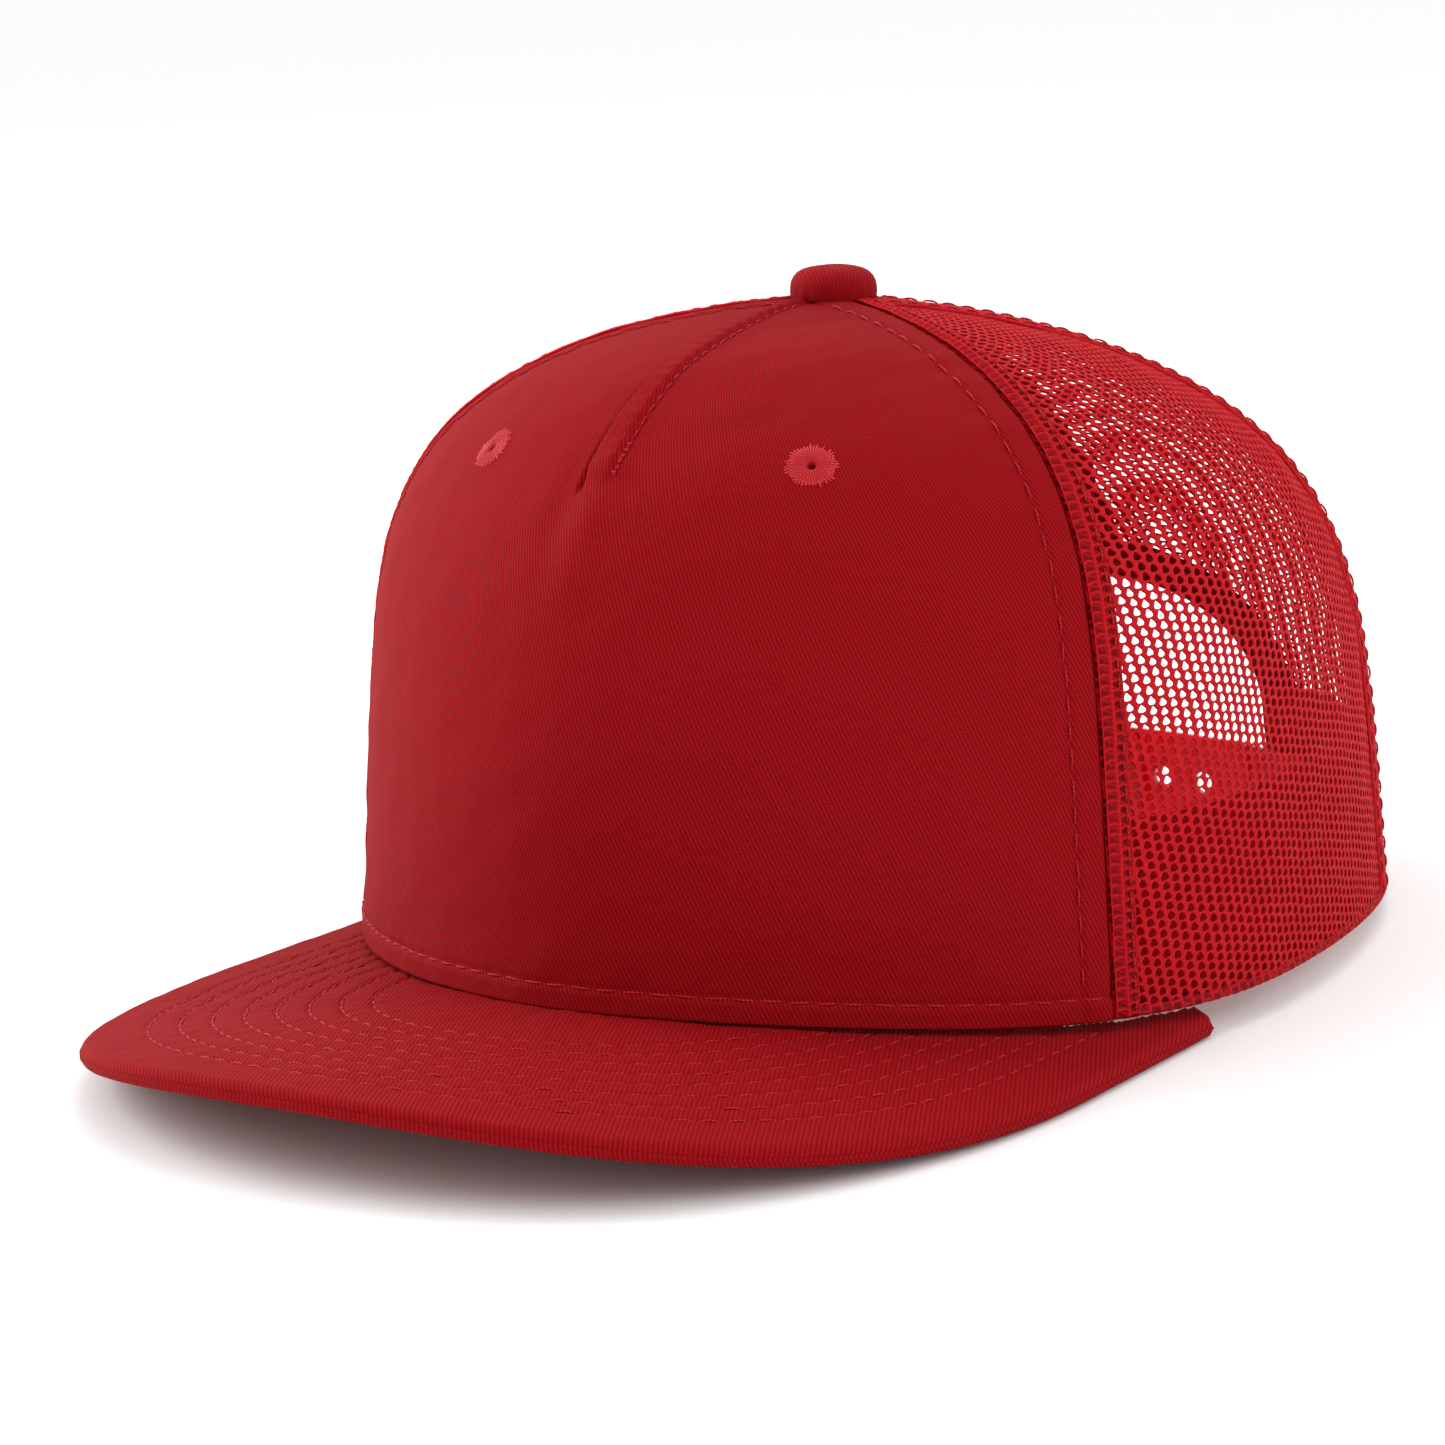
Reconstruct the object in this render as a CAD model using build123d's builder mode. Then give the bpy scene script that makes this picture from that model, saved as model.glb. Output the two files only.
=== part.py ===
"""Trucker cap with a flat bill: one twill front panel, four mesh panels, a snap strap at the back.

The frame: Z is up and Z = 0 is the table that the cap rests on, with the bill's side edges
and the rim at the back touching it. The bill points to -Y, the wearer's left is +X, and the
crown's axis, under the top button, is X = Y = 0. All sizes are in millimetres.
"""
from build123d import *

import os
from math import cos, radians, sin

os.makedirs("parts", exist_ok=True)

# Crown: plan, height and the height of its rim over the table
half_width = 85.0
front_reach = 92.0
back_reach = 116.0
crown_top = 114.5
rim_front = 11.8
rim_side = 5.8
rim_back = 0.0
taper = 0.085
swell = 0.06

# Seams, as angles round the crown from the middle of the front
front_seam = 63.0
side_seam = 121.5
layer_step = 9.75
panel_low = 0.0015
backing_inset = 2.0
backing_low, backing_high = 0.01, 0.985

# Cloth thicknesses and how deep each layer lies under the crown's outer face
twill = 0.8
mesh_thickness = 0.8
buckram_out, buckram_in = 0.9, 1.6
tape_out, tape_in = 1.9, 2.4
tape_width = 12.0
tape_start = 13.0
tape_sweep = 14.0
tape_low, centre_tape_low, tape_high = 0.01, 0.54, 0.994
sweatband_out, sweatband_in = 3.0, 4.4
sweatband_height = 32.0
sweatband_end = 158.0
sweatband_low = 0.004

# Back opening
arch_half_width = 28.7
arch_spring = 27.0
arch_top = 51.0
binding_width = 8.0
binding_out, binding_in = 0.9, 1.9
binding_sweep = 35.0
binding_high = 0.66
cutter_back, cutter_front, cutter_low = 150.0, 40.0, -20.0

# Bill
bill_half_width = 83.0
bill_widest = -64.0
bill_length = 68.0
bill_roundness = 2.2
bill_tail = -24.0
bill_tail_angle = 75.5
bill_tuck = 4.0
bill_arch = 8.7
bill_rise = 0.060
bill_twist = 0.063
bill_cover = 0.8
bill_board_thickness = 1.8
cover_gap = 0.05
board_inset = 1.2
sheet_reach, sheet_step = 90, 15
sheet_front = -180.0
sheet_cut = 40.0

# Top button
button_radius = 7.4
button_base = 115.2
button_top = 120.4
button_cloth = 0.7
post_radius = 1.6
crown_hole = 0.915
washer_radius = 7.0

# Eyelets
eyelet_angles = {1: 29.9, -1: 28.0}  # wearer's left, wearer's right
eyelet_rise = 0.813
eyelet_radius = 4.0
eyelet_hole = 0.9

# Snap strap
strap_height = 18.0
strap_low = 1.5
strap_thickness = 1.2
hole_strap_depth = 7.4
peg_strap_depth = 9.1
strap_bow = 5.2
strap_corner = 6.0
hole_strap_end = -25.6
peg_strap_end = 2.4
strap_pivot = 27.2
strap_clearance = 0.35
tab_length = 14.0
snap_pitch = 9.4
snap_first = 16.3
snap_holes = 5
snap_pegs = 3
hole_radius = 2.1
peg_radius = 1.45
peg_length = 1.9


# ---- the crown's shape -------------------------------------------------------------------


def rim_height(angle):
    """Height of the rim over the table: highest over the bill, lowest at the back."""
    across = cos(radians(angle))
    if across > 0:
        return rim_side + (rim_front - rim_side) * across**3
    return rim_side + (rim_back - rim_side) * across**2


def heading(angle):
    """Direction from the crown's axis to the rim, in plan."""
    reach = front_reach if cos(radians(angle)) > 0 else back_reach
    return Vector(half_width * sin(radians(angle)), -reach * cos(radians(angle)), 0)


def spread(angle):
    """Distance from the crown's axis to the rim: an egg, fuller at the back than in front."""
    turn = radians(angle)
    return heading(angle).length * (1 - swell * cos(turn) * sin(2 * turn) ** 2)


def crown_share(angle, rise):
    """How much of the spread is left at a rise from 0 (rim) to 1 (top)."""
    turn = radians(angle)
    shoulder = 1.8 + 0.33 * cos(turn) + 0.23 * cos(2 * turn)
    wall = 4.9 + 1.13 * cos(turn) - 1.5 * cos(2 * turn)
    return (1 - rise**wall) ** (1 / shoulder) * (1 - taper * rise)


def meridian_point(angle, rise, depth):
    """Distance out and height of a point that lies a depth under the crown's outer face."""
    out = (spread(angle) - depth) * crown_share(angle, rise)
    return out, rim_height(angle) * (1 - rise) + (crown_top - depth) * rise


def crown_point(angle, rise, depth):
    """The same point in space."""
    out, height = meridian_point(angle, rise, depth)
    return heading(angle).normalized() * out + Vector(0, 0, height)


def rise_at(angle, height):
    """Rise of the point that stands a given height over the rim."""
    return height / (crown_top - rim_height(angle))


def rises(low, high, count):
    """Rises that crowd together towards the top, where the crown turns over."""
    start = 1 - (1 - low) ** (1 / 3)
    stop = 1 - (1 - high) ** (1 / 3)
    return [1 - (1 - start - (stop - start) * i / count) ** 3 for i in range(count + 1)]


def meridian_plane(angle):
    """Upright plane through the crown's axis; its x runs outwards and its y is up."""
    outward = heading(angle).normalized()
    return Plane((0, 0, 0), x_dir=outward, z_dir=outward.cross(Vector(0, 0, 1)))


def meridian_strip(angle, low, high, depth_out, depth_in, count=14):
    """Section of one cloth layer, in the meridian plane."""
    with BuildSketch(meridian_plane(angle)) as strip:
        with BuildLine():
            outer = Spline([meridian_point(angle, r, depth_out) for r in rises(low, high, count)])
            inner = Spline([meridian_point(angle, r, depth_in) for r in rises(low, high, count)])
            Line(outer @ 0, inner @ 0)
            Line(outer @ 1, inner @ 1)
        make_face()
    return strip.sketch


def crown_layer(first, last, depth_out, depth_in, low=0.0, high=None, height=None):
    """A curved piece of cloth between two meridians, up to a rise or to a height over the rim."""
    steps = max(2, round(abs(last - first) / layer_step))
    with BuildPart() as layer:
        for i in range(steps + 1):
            angle = first + (last - first) * i / steps
            top = high if height is None else rise_at(angle, height)
            add(meridian_strip(angle, low, top, depth_out, depth_in, 14 if height is None else 4))
        loft()
    return layer.part


top_hole = 1 - (1 - crown_hole) ** 3


def arch_outline(grow):
    """Back opening seen from behind: upright sides and half an ellipse, open below the rim."""
    wide = arch_half_width + grow
    tall = arch_top + grow - arch_spring
    with BuildLine() as outline:
        EllipticalCenterArc((0, arch_spring), wide, tall, arc_size=180)
        Polyline((-wide, arch_spring), (-wide, cutter_low), (wide, cutter_low), (wide, arch_spring))
    return outline.line


def arch_block(grow, grow_inner=None):
    """Block that cuts the opening, or with an inner outline the band round it."""
    with BuildPart() as block:
        with BuildSketch(Plane.XZ.offset(-cutter_back)):
            add(arch_outline(grow))
            make_face()
            if grow_inner is not None:
                add(make_face(arch_outline(grow_inner), mode=Mode.PRIVATE), mode=Mode.SUBTRACT)
        extrude(amount=cutter_back - cutter_front)
    return block.part


def finish(part, label):
    """Name a piece and write it."""
    part.label = label
    export_step(part, f"parts/{label}.step")


# ---- eyelets' places, needed by the panel they go through --------------------------------


def eyelet_plane(side):
    """Plane on the front panel at an eyelet, facing outwards."""
    here = crown_point(side * eyelet_angles[side], eyelet_rise, 0)
    along = crown_point(side * eyelet_angles[side] + 1, eyelet_rise, 0) - here
    upward = crown_point(side * eyelet_angles[side], eyelet_rise + 0.01, 0) - here
    return Plane(here, x_dir=along, z_dir=along.cross(upward))


# ---- front panel and its stiff backing ---------------------------------------------------

with BuildPart() as front_panel:
    add(crown_layer(-front_seam, front_seam, 0, twill, panel_low, top_hole))
    for side in (-1, 1):
        with BuildSketch(eyelet_plane(side)):
            Circle(eyelet_radius + cover_gap)
        extrude(amount=eyelet_radius, both=True, mode=Mode.SUBTRACT)
finish(front_panel.part, "front_panel")

with BuildPart() as front_buckram:
    add(crown_layer(backing_inset - front_seam, front_seam - backing_inset, buckram_out, buckram_in,
                    backing_low, backing_high))
    for side in (-1, 1):
        with BuildSketch(eyelet_plane(side)):
            Circle(eyelet_radius + cover_gap)
        extrude(amount=eyelet_radius, both=True, mode=Mode.SUBTRACT)
finish(front_buckram.part, "front_buckram")

# ---- mesh panels -------------------------------------------------------------------------

for side, name in ((1, "left"), (-1, "right")):
    with BuildPart() as side_mesh:
        add(crown_layer(side * front_seam, side * side_seam, 0, mesh_thickness, 0, top_hole))
    finish(side_mesh.part, f"{name}_side_mesh")

    with BuildPart() as back_mesh:
        add(crown_layer(side * side_seam, side * 180, 0, mesh_thickness, 0, top_hole))
        add(arch_block(0), mode=Mode.SUBTRACT)
    finish(back_mesh.part, f"{name}_back_mesh")

# ---- binding round the back opening ------------------------------------------------------

with BuildPart() as arch_binding:
    add(crown_layer(180 - binding_sweep, 180 + binding_sweep, binding_out, binding_in, 0, binding_high))
    add(arch_block(binding_width, 0), mode=Mode.INTERSECT)
finish(arch_binding.part, "arch_binding")

# ---- tapes over the seams, inside --------------------------------------------------------

tape_runs = (
    ("left_front_seam_tape", front_seam, tape_low),
    ("right_front_seam_tape", -front_seam, tape_low),
    ("left_back_seam_tape", side_seam, tape_low),
    ("right_back_seam_tape", -side_seam, tape_low),
    ("centre_back_seam_tape", 180, centre_tape_low),
)
for name, angle, low in tape_runs:
    with BuildPart() as tape:
        add(crown_layer(angle - tape_sweep, angle + tape_sweep, tape_out, tape_in, low, tape_high))
        with BuildSketch(meridian_plane(angle)):
            with BuildLine():
                Polyline((tape_start, cutter_low), (cutter_back, cutter_low), (cutter_back, cutter_back),
                         (tape_start, cutter_back), close=True)
            make_face()
        extrude(amount=tape_width / 2, both=True, mode=Mode.INTERSECT)
    finish(tape.part, name)

# ---- sweatband ---------------------------------------------------------------------------

with BuildPart() as sweatband:
    add(crown_layer(-sweatband_end, sweatband_end, sweatband_out, sweatband_in, sweatband_low,
                    height=sweatband_height))
finish(sweatband.part, "sweatband")

# ---- bill --------------------------------------------------------------------------------


def bill_height(x, y):
    """Top face of the bill: an arch across, straight from back to front."""
    share = (x / half_width) ** 2
    forward = -y - front_reach
    return rim_front - 0.1 - bill_arch * share + forward * (bill_rise - bill_twist * share)


def bill_edge(turn, inset):
    """Point on the outline of the bill: 0 and 180 are its sides, 90 the tip."""
    power = 2 / bill_roundness
    wide = bill_half_width - inset
    long = front_reach + bill_length + bill_widest - inset
    side = 1 if turn <= 90 else -1
    across = abs(cos(radians(turn))) ** power if turn != 90 else 0
    return side * wide * across, bill_widest - long * sin(radians(turn)) ** power


def bill_layer(depth_top, depth_bottom, inset):
    """One layer of the bill, cut to the outline from a gently arched sheet."""
    xs = range(-sheet_reach, sheet_reach + 1, sheet_step)
    tail = bill_tail_angle
    with BuildPart() as layer:
        for y in (0.0, sheet_front):
            with BuildSketch(Plane.XZ.offset(-y)):
                with BuildLine():
                    top = Spline([(x, bill_height(x, y) - depth_top) for x in xs])
                    bottom = Spline([(x, bill_height(x, y) - depth_bottom) for x in xs])
                    Line(top @ 0, bottom @ 0)
                    Line(top @ 1, bottom @ 1)
                make_face()
        loft(ruled=True)
        with BuildSketch(Plane.XY.offset(-sheet_cut)):
            with BuildLine():
                rounds = [0, 4, 9, 16, 25, 36, 48, 60, 70, 78, 84, 90]
                rounds += [180 - turn for turn in reversed(rounds[:-1])]
                outer = Spline([bill_edge(turn, inset) for turn in rounds],
                               tangents=[(0, -1), (0, 1)])
                rear = [crown_point(tail - tail * i / 8, 0, bill_tuck + inset) for i in range(17)]
                inner = Spline([(point.X, point.Y) for point in rear])
                Line(outer @ 0, (bill_half_width - inset, bill_tail))
                Line((bill_half_width - inset, bill_tail), inner @ 0)
                Line(outer @ 1, (inset - bill_half_width, bill_tail))
                Line((inset - bill_half_width, bill_tail), inner @ 1)
            make_face()
        extrude(amount=2 * sheet_cut, mode=Mode.INTERSECT)
    return layer.part


board_depth = bill_cover + cover_gap
under_depth = board_depth + bill_board_thickness + cover_gap

with BuildPart() as bill_top_cover:
    add(bill_layer(0, bill_cover, 0))
finish(bill_top_cover.part, "bill_top_cover")

with BuildPart() as bill_board:
    add(bill_layer(board_depth, board_depth + bill_board_thickness, board_inset))
finish(bill_board.part, "bill_board")

with BuildPart() as bill_under_cover:
    add(bill_layer(under_depth, under_depth + bill_cover, 0))
finish(bill_under_cover.part, "bill_under_cover")

# ---- top button --------------------------------------------------------------------------


def dome(radius, base, top):
    """Half section of the button: flat below, a flattened dome above."""
    with BuildLine() as outline:
        Polyline((0, base), (radius, base), (radius, base + (top - base) * 0.35))
        Spline((radius, base + (top - base) * 0.35), (radius * 0.72, base + (top - base) * 0.88),
               (0, top), tangents=[(0, 1), (-1, 0)])
        Line((0, top), (0, base))
    return outline.line


with BuildPart() as button_core:
    with BuildSketch(Plane.XZ):
        add(dome(button_radius - button_cloth, button_base, button_top - button_cloth))
        make_face()
    revolve(axis=Axis.Z)
    with BuildSketch(Plane.XY.offset(button_base)):
        Circle(post_radius)
    extrude(amount=-6)
finish(button_core.part, "button_core")

with BuildPart() as button_cover:
    with BuildSketch(Plane.XZ):
        add(dome(button_radius, button_base, button_top))
        make_face()
    revolve(axis=Axis.Z)
    with BuildSketch(Plane.XZ):
        add(dome(button_radius - button_cloth + 0.03, button_base, button_top - button_cloth + 0.03))
        make_face()
    revolve(axis=Axis.Z, mode=Mode.SUBTRACT)
finish(button_cover.part, "button_cover")

with BuildPart() as button_washer:
    with BuildSketch(Plane.XY.offset(button_base - 5.0)):
        Circle(washer_radius)
        Circle(post_radius + 0.05, mode=Mode.SUBTRACT)
    extrude(amount=-0.8)
finish(button_washer.part, "button_washer")

# ---- embroidered eyelets -----------------------------------------------------------------

for side, name in ((1, "left"), (-1, "right")):
    with BuildPart() as eyelet:
        with BuildSketch(eyelet_plane(side).offset(0.35)):
            Circle(eyelet_radius)
            Circle(eyelet_hole, mode=Mode.SUBTRACT)
        extrude(amount=-2.1)
    finish(eyelet.part, f"{name}_eyelet")

# ---- snap strap --------------------------------------------------------------------------

snap_height = strap_low + strap_height / 2


def strap_line(x, depth):
    """Middle line of a strap in plan, bowed a little like the back of the head."""
    return back_reach - depth - strap_bow * (x / strap_pivot) ** 2


def strap_plan(start, stop, depth):
    """A strap seen from above, with round ends."""
    half = strap_thickness / 2
    xs = [start + (stop - start) * i / 6 for i in range(7)]
    with BuildLine() as plan:
        near = Spline([(x, strap_line(x, depth) - half) for x in xs])
        far = Spline([(x, strap_line(x, depth) + half) for x in xs])
        for at, bulge in ((0, start - stop), (1, stop - start)):
            near_end = near @ at
            far_end = far @ at
            middle = (near_end + far_end) * 0.5 + Vector(half * bulge / abs(bulge), 0, 0)
            ThreePointArc(near_end, middle, far_end)
    return plan.line


def round_end(root, end):
    """Side view of a strap: square where it is rooted, round-cornered at its free end."""
    overhang = 12 * abs(root) / root
    with BuildSketch(Plane.XZ.offset(-back_reach)) as view:
        with Locations(((root + overhang + end) / 2, snap_height)):
            RectangleRounded(abs(root + overhang - end), strap_height, strap_corner)
    return view.sketch


def snap_places(count, skip=0):
    """Places of the holes or pegs along a strap, on its middle line."""
    return [snap_first - snap_pitch * (skip + i) for i in range(count)]


with BuildPart() as hole_strap:
    with BuildSketch(Plane.XY.offset(strap_low)):
        add(strap_plan(strap_pivot, hole_strap_end, hole_strap_depth))
        make_face()
    extrude(amount=strap_height)
    extrude(round_end(strap_pivot, hole_strap_end - strap_thickness), 40, mode=Mode.INTERSECT)
    with BuildSketch(Plane.XZ.offset(-back_reach)):
        with Locations(*[(x, snap_height) for x in snap_places(snap_holes)]):
            Circle(hole_radius)
    extrude(amount=40, mode=Mode.SUBTRACT)
finish(hole_strap.part, "hole_strap")

with BuildPart() as peg_strap:
    with BuildSketch(Plane.XY.offset(strap_low)):
        add(strap_plan(-strap_pivot, peg_strap_end, peg_strap_depth))
        make_face()
    extrude(amount=strap_height)
    extrude(round_end(-strap_pivot, peg_strap_end + strap_thickness), 40, mode=Mode.INTERSECT)
    for x in snap_places(snap_pegs, snap_holes - snap_pegs):
        with BuildSketch(Plane.XZ.offset(-strap_line(x, peg_strap_depth))):
            with Locations((x, snap_height)):
                Circle(peg_radius)
        extrude(amount=-strap_thickness / 2 - peg_length)
finish(peg_strap.part, "peg_strap")

for side, name, depth in ((1, "left", hole_strap_depth), (-1, "right", peg_strap_depth)):
    start = side * (strap_pivot + strap_thickness + strap_clearance)
    with BuildPart() as tab:
        with BuildSketch(Plane.XY.offset(strap_low)):
            add(strap_plan(start, start + side * tab_length, depth))
            make_face()
        extrude(amount=strap_height)
    finish(tab.part, f"{name}_strap_tab")
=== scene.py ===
"""Looks of a flat-bill trucker cap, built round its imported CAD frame.

Everything is worked out in millimetres in the frame's own axes (bill to -Y, wearer's left +X,
table at Z = 0, button over the origin) and is turned to metres when a mesh is made.
"""

import math
from types import SimpleNamespace

import bpy
import numpy as np
from bpy.props import FloatProperty, FloatVectorProperty, IntProperty, PointerProperty
from mathutils import Matrix, Vector


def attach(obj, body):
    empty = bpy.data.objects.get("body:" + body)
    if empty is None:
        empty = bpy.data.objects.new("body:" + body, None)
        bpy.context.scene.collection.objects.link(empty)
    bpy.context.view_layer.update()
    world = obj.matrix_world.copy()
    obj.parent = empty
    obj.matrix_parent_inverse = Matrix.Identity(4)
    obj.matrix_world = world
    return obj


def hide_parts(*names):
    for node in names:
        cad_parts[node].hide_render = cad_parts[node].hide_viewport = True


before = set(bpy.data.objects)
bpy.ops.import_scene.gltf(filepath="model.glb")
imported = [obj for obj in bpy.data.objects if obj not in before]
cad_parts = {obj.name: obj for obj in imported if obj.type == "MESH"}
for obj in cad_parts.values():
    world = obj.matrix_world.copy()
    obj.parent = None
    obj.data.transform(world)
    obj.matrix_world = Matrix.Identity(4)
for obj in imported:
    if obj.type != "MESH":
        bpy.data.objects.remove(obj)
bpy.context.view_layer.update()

bl_info = {
    "name": "Trucker cap",
    "version": (1, 0, 0),
    "blender": (4, 5, 0),
    "location": "View3D > Sidebar > Cap",
    "description": "Builds the cloth, net, seams and fittings of a flat-bill trucker cap",
    "category": "Object",
}

MM = 0.001

# ---- the crown's shape, as the CAD source gives it ---------------------------------------

HALF_WIDTH, FRONT_REACH, BACK_REACH, CROWN_TOP = 85.0, 92.0, 116.0, 114.5
RIM_FRONT, RIM_SIDE, RIM_BACK = 11.8, 5.8, 0.0
TAPER, SWELL = 0.085, 0.06
FRONT_SEAM, SIDE_SEAM, BACK_SEAM = 63.0, 121.5, 180.0
TOP_RISE = 1 - 0.085**3
ARCH_HALF_WIDTH, ARCH_SPRING, ARCH_TOP = 28.7, 27.0, 51.0
BILL_HALF_WIDTH, BILL_WIDEST, BILL_LENGTH, BILL_ROUNDNESS = 83.0, -64.0, 68.0, 2.2
BILL_TAIL, BILL_TUCK, BILL_ARCH, BILL_RISE, BILL_TWIST = -24.0, 4.0, 8.7, 0.060, 0.063
BILL_THICKNESS = 3.5
BILL_TAIL_SLOPE = 0.75  # how far back the tail's end runs for each millimetre inwards
BUTTON_RADIUS, BUTTON_BASE, BUTTON_TOP = 7.4, 115.2, 120.4
# Each eyelet's angle, by side: wearer's left, wearer's right.
EYELET_ANGLES, EYELET_RISE = {1: 29.9, -1: 28.0}, 0.813
SNAP_HEIGHT, SNAP_PITCH, SNAP_FIRST = 10.5, 9.4, 16.3
STRAP_PIVOT, STRAP_BOW, STRAP_THICKNESS = 27.2, 5.2, 1.2
HOLE_STRAP_DEPTH, PEG_STRAP_DEPTH = 7.4, 9.1


def rim_height(angle):
    """Height of the rim over the table."""
    across = np.cos(np.radians(angle))
    return np.where(across > 0, RIM_SIDE + (RIM_FRONT - RIM_SIDE) * across**3,
                    RIM_SIDE + (RIM_BACK - RIM_SIDE) * across**2)


def crown(angle, rise, depth=0.0):
    """Points of the crown at angles from the middle of the front, rises from the rim and depths inwards."""
    angle, rise, depth = np.broadcast_arrays(np.asarray(angle, float), rise, depth)
    turn = np.radians(angle)
    across, up = np.cos(turn), np.clip(rise, 0, 1)
    x, y = HALF_WIDTH * np.sin(turn), -np.where(across > 0, FRONT_REACH, BACK_REACH) * across
    length = np.hypot(x, y)
    shoulder = 1.8 + 0.33 * across + 0.23 * np.cos(2 * turn)
    wall = 4.9 + 1.13 * across - 1.5 * np.cos(2 * turn)
    share = (1 - up**wall) ** (1 / shoulder) * (1 - TAPER * up)
    out = (length * (1 - SWELL * across * np.sin(2 * turn) ** 2) - depth) * share
    height = rim_height(angle) * (1 - rise) + (CROWN_TOP - depth) * rise
    return np.stack([x / length * out, y / length * out, height], -1)


def across_rate(angle, rise):
    """Millimetres round the crown for each degree, at a place on it."""
    step = crown(np.asarray(angle) + 0.5, rise) - crown(np.asarray(angle) - 0.5, rise)
    return np.linalg.norm(step, axis=-1)


def meridian(angle):
    """Rises from the rim to the button, and how far along the cloth each lies."""
    rises = 1 - (1 - np.linspace(0, 1, 1500) * 0.915) ** 3
    line = crown(angle, rises)
    return rises, np.append(0, np.cumsum(np.linalg.norm(np.diff(line, axis=0), axis=1)))


def rises_along(angle, places):
    """Rises of places given as lengths along the cloth from the rim."""
    rises, lengths = meridian(angle)
    return np.interp(places, lengths, rises)


def even(low, high, step):
    """Evenly spaced values, both ends among them."""
    return np.linspace(low, high, max(2, int(math.ceil((high - low) / step)) + 1))


def spaced(*runs):
    """Sorted values from several runs of (low, high, step), near-doubles dropped."""
    values = np.sort(np.concatenate([even(*run) for run in runs]))
    return values[np.append(True, np.diff(values) > min(run[2] for run in runs) * 0.45)]


def groove(distance, width):
    """A soft-sided line: 1 on it, falling to 0 beside it."""
    return np.exp(-((distance / width) ** 2))


def ease(value, start, stop):
    """Smooth step from 0 at start to 1 at stop."""
    t = np.clip((value - start) / (stop - start), 0, 1)
    return t * t * (3 - 2 * t)


def ripple(x, y, size, seed):
    """Smooth uneven waves between about -1 and 1, with a typical size in millimetres."""
    draw = np.random.default_rng(seed)
    total = 0
    for _ in range(6):
        heading, stretch, shift = draw.uniform(0, 2 * math.pi), draw.uniform(0.6, 1.7), draw.uniform(0, 6.3)
        total = total + np.sin((x * math.cos(heading) + y * math.sin(heading)) * 2 * math.pi * stretch / size + shift)
    return total / 3


# ---- making meshes -----------------------------------------------------------------------


def grid_faces(rows, columns, close=False, start=0):
    """Quads of a grid of points; close joins its last column to its first."""
    row = np.arange(rows - 1)[:, None]
    column = np.arange(columns if close else columns - 1)[None, :]
    beside = (column + 1) % columns
    quads = np.stack([row * columns + column, row * columns + beside,
                      (row + 1) * columns + beside, (row + 1) * columns + column], -1)
    return quads.reshape(-1, 4) + start


class Build:
    """Points, quads, cloth coordinates and strand heights (crest: painted light and shade of the net) of one piece,
    gathered bit by bit.
    """

    def __init__(self):
        self.points, self.faces, self.cloth, self.crest, self.count = [], [], [], [], 0

    def add(self, points, faces, cloth, crest=None):
        points = np.asarray(points, float).reshape(-1, 3)
        self.faces.append(np.asarray(faces) + self.count)
        self.points.append(points)
        self.cloth.append(np.asarray(cloth, float).reshape(-1, 2))
        self.crest.append(np.ones(len(points)) if crest is None else np.asarray(crest, float).ravel())
        self.count += len(points)

    def grid(self, points, cloth_u, cloth_v, crest=None, flip=False, close=False, keep=None):
        """A grid of points; keep is a mask of the faces that stay."""
        rows, columns = points.shape[:2]
        faces = grid_faces(rows, columns, close)
        if keep is not None:
            faces = faces[keep(points.reshape(-1, 3)[faces].mean(1))]
        u, v = np.broadcast_arrays(cloth_u, cloth_v)
        self.add(points, faces[:, ::-1] if flip else faces, np.stack([u, v], -1), crest)

    def piece(self, name, material, body="cap", replaces=(), slot=None, weld=False):
        """The finished object, riding on its body; weld joins points that lie on each other."""
        points, faces = np.concatenate(self.points), np.concatenate(self.faces)
        if weld:
            _, first, same = np.unique(np.round(points, 3), axis=0, return_index=True, return_inverse=True)
            faces = first[same.ravel()][faces]
            faces = faces[(faces != np.roll(faces, 1, axis=1)).all(1)]
        used = np.unique(faces)
        renumber = np.zeros(len(points), int)
        renumber[used] = np.arange(len(used))
        faces = renumber[faces]
        mesh = bpy.data.meshes.new(name)
        mesh.vertices.add(len(used))
        mesh.vertices.foreach_set("co", (points[used] * MM).astype(np.float32).ravel())
        mesh.loops.add(faces.size)
        mesh.loops.foreach_set("vertex_index", faces.astype(np.int32).ravel())
        mesh.polygons.add(len(faces))
        mesh.polygons.foreach_set("loop_start", np.arange(len(faces), dtype=np.int32) * 4)
        mesh.update(calc_edges=True)
        layer = mesh.uv_layers.new(name="cloth_mm")
        cloth = np.concatenate(self.cloth)[used]
        layer.data.foreach_set("uv", cloth[faces.ravel()].astype(np.float32).ravel())
        # crest carries the strand heights that paint light and shade into the net's colour.
        crest = mesh.attributes.new("crest", "FLOAT", "POINT")
        crest.data.foreach_set("value", np.concatenate(self.crest)[used].astype(np.float32))
        mesh.polygons.foreach_set("use_smooth", np.ones(len(faces), bool))
        mesh.validate()
        made = bpy.data.objects.new(name, mesh)
        bpy.context.scene.collection.objects.link(made)
        made.data.materials.append(material)
        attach(made, body)
        if replaces:
            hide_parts(*replaces)
        return made


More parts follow.
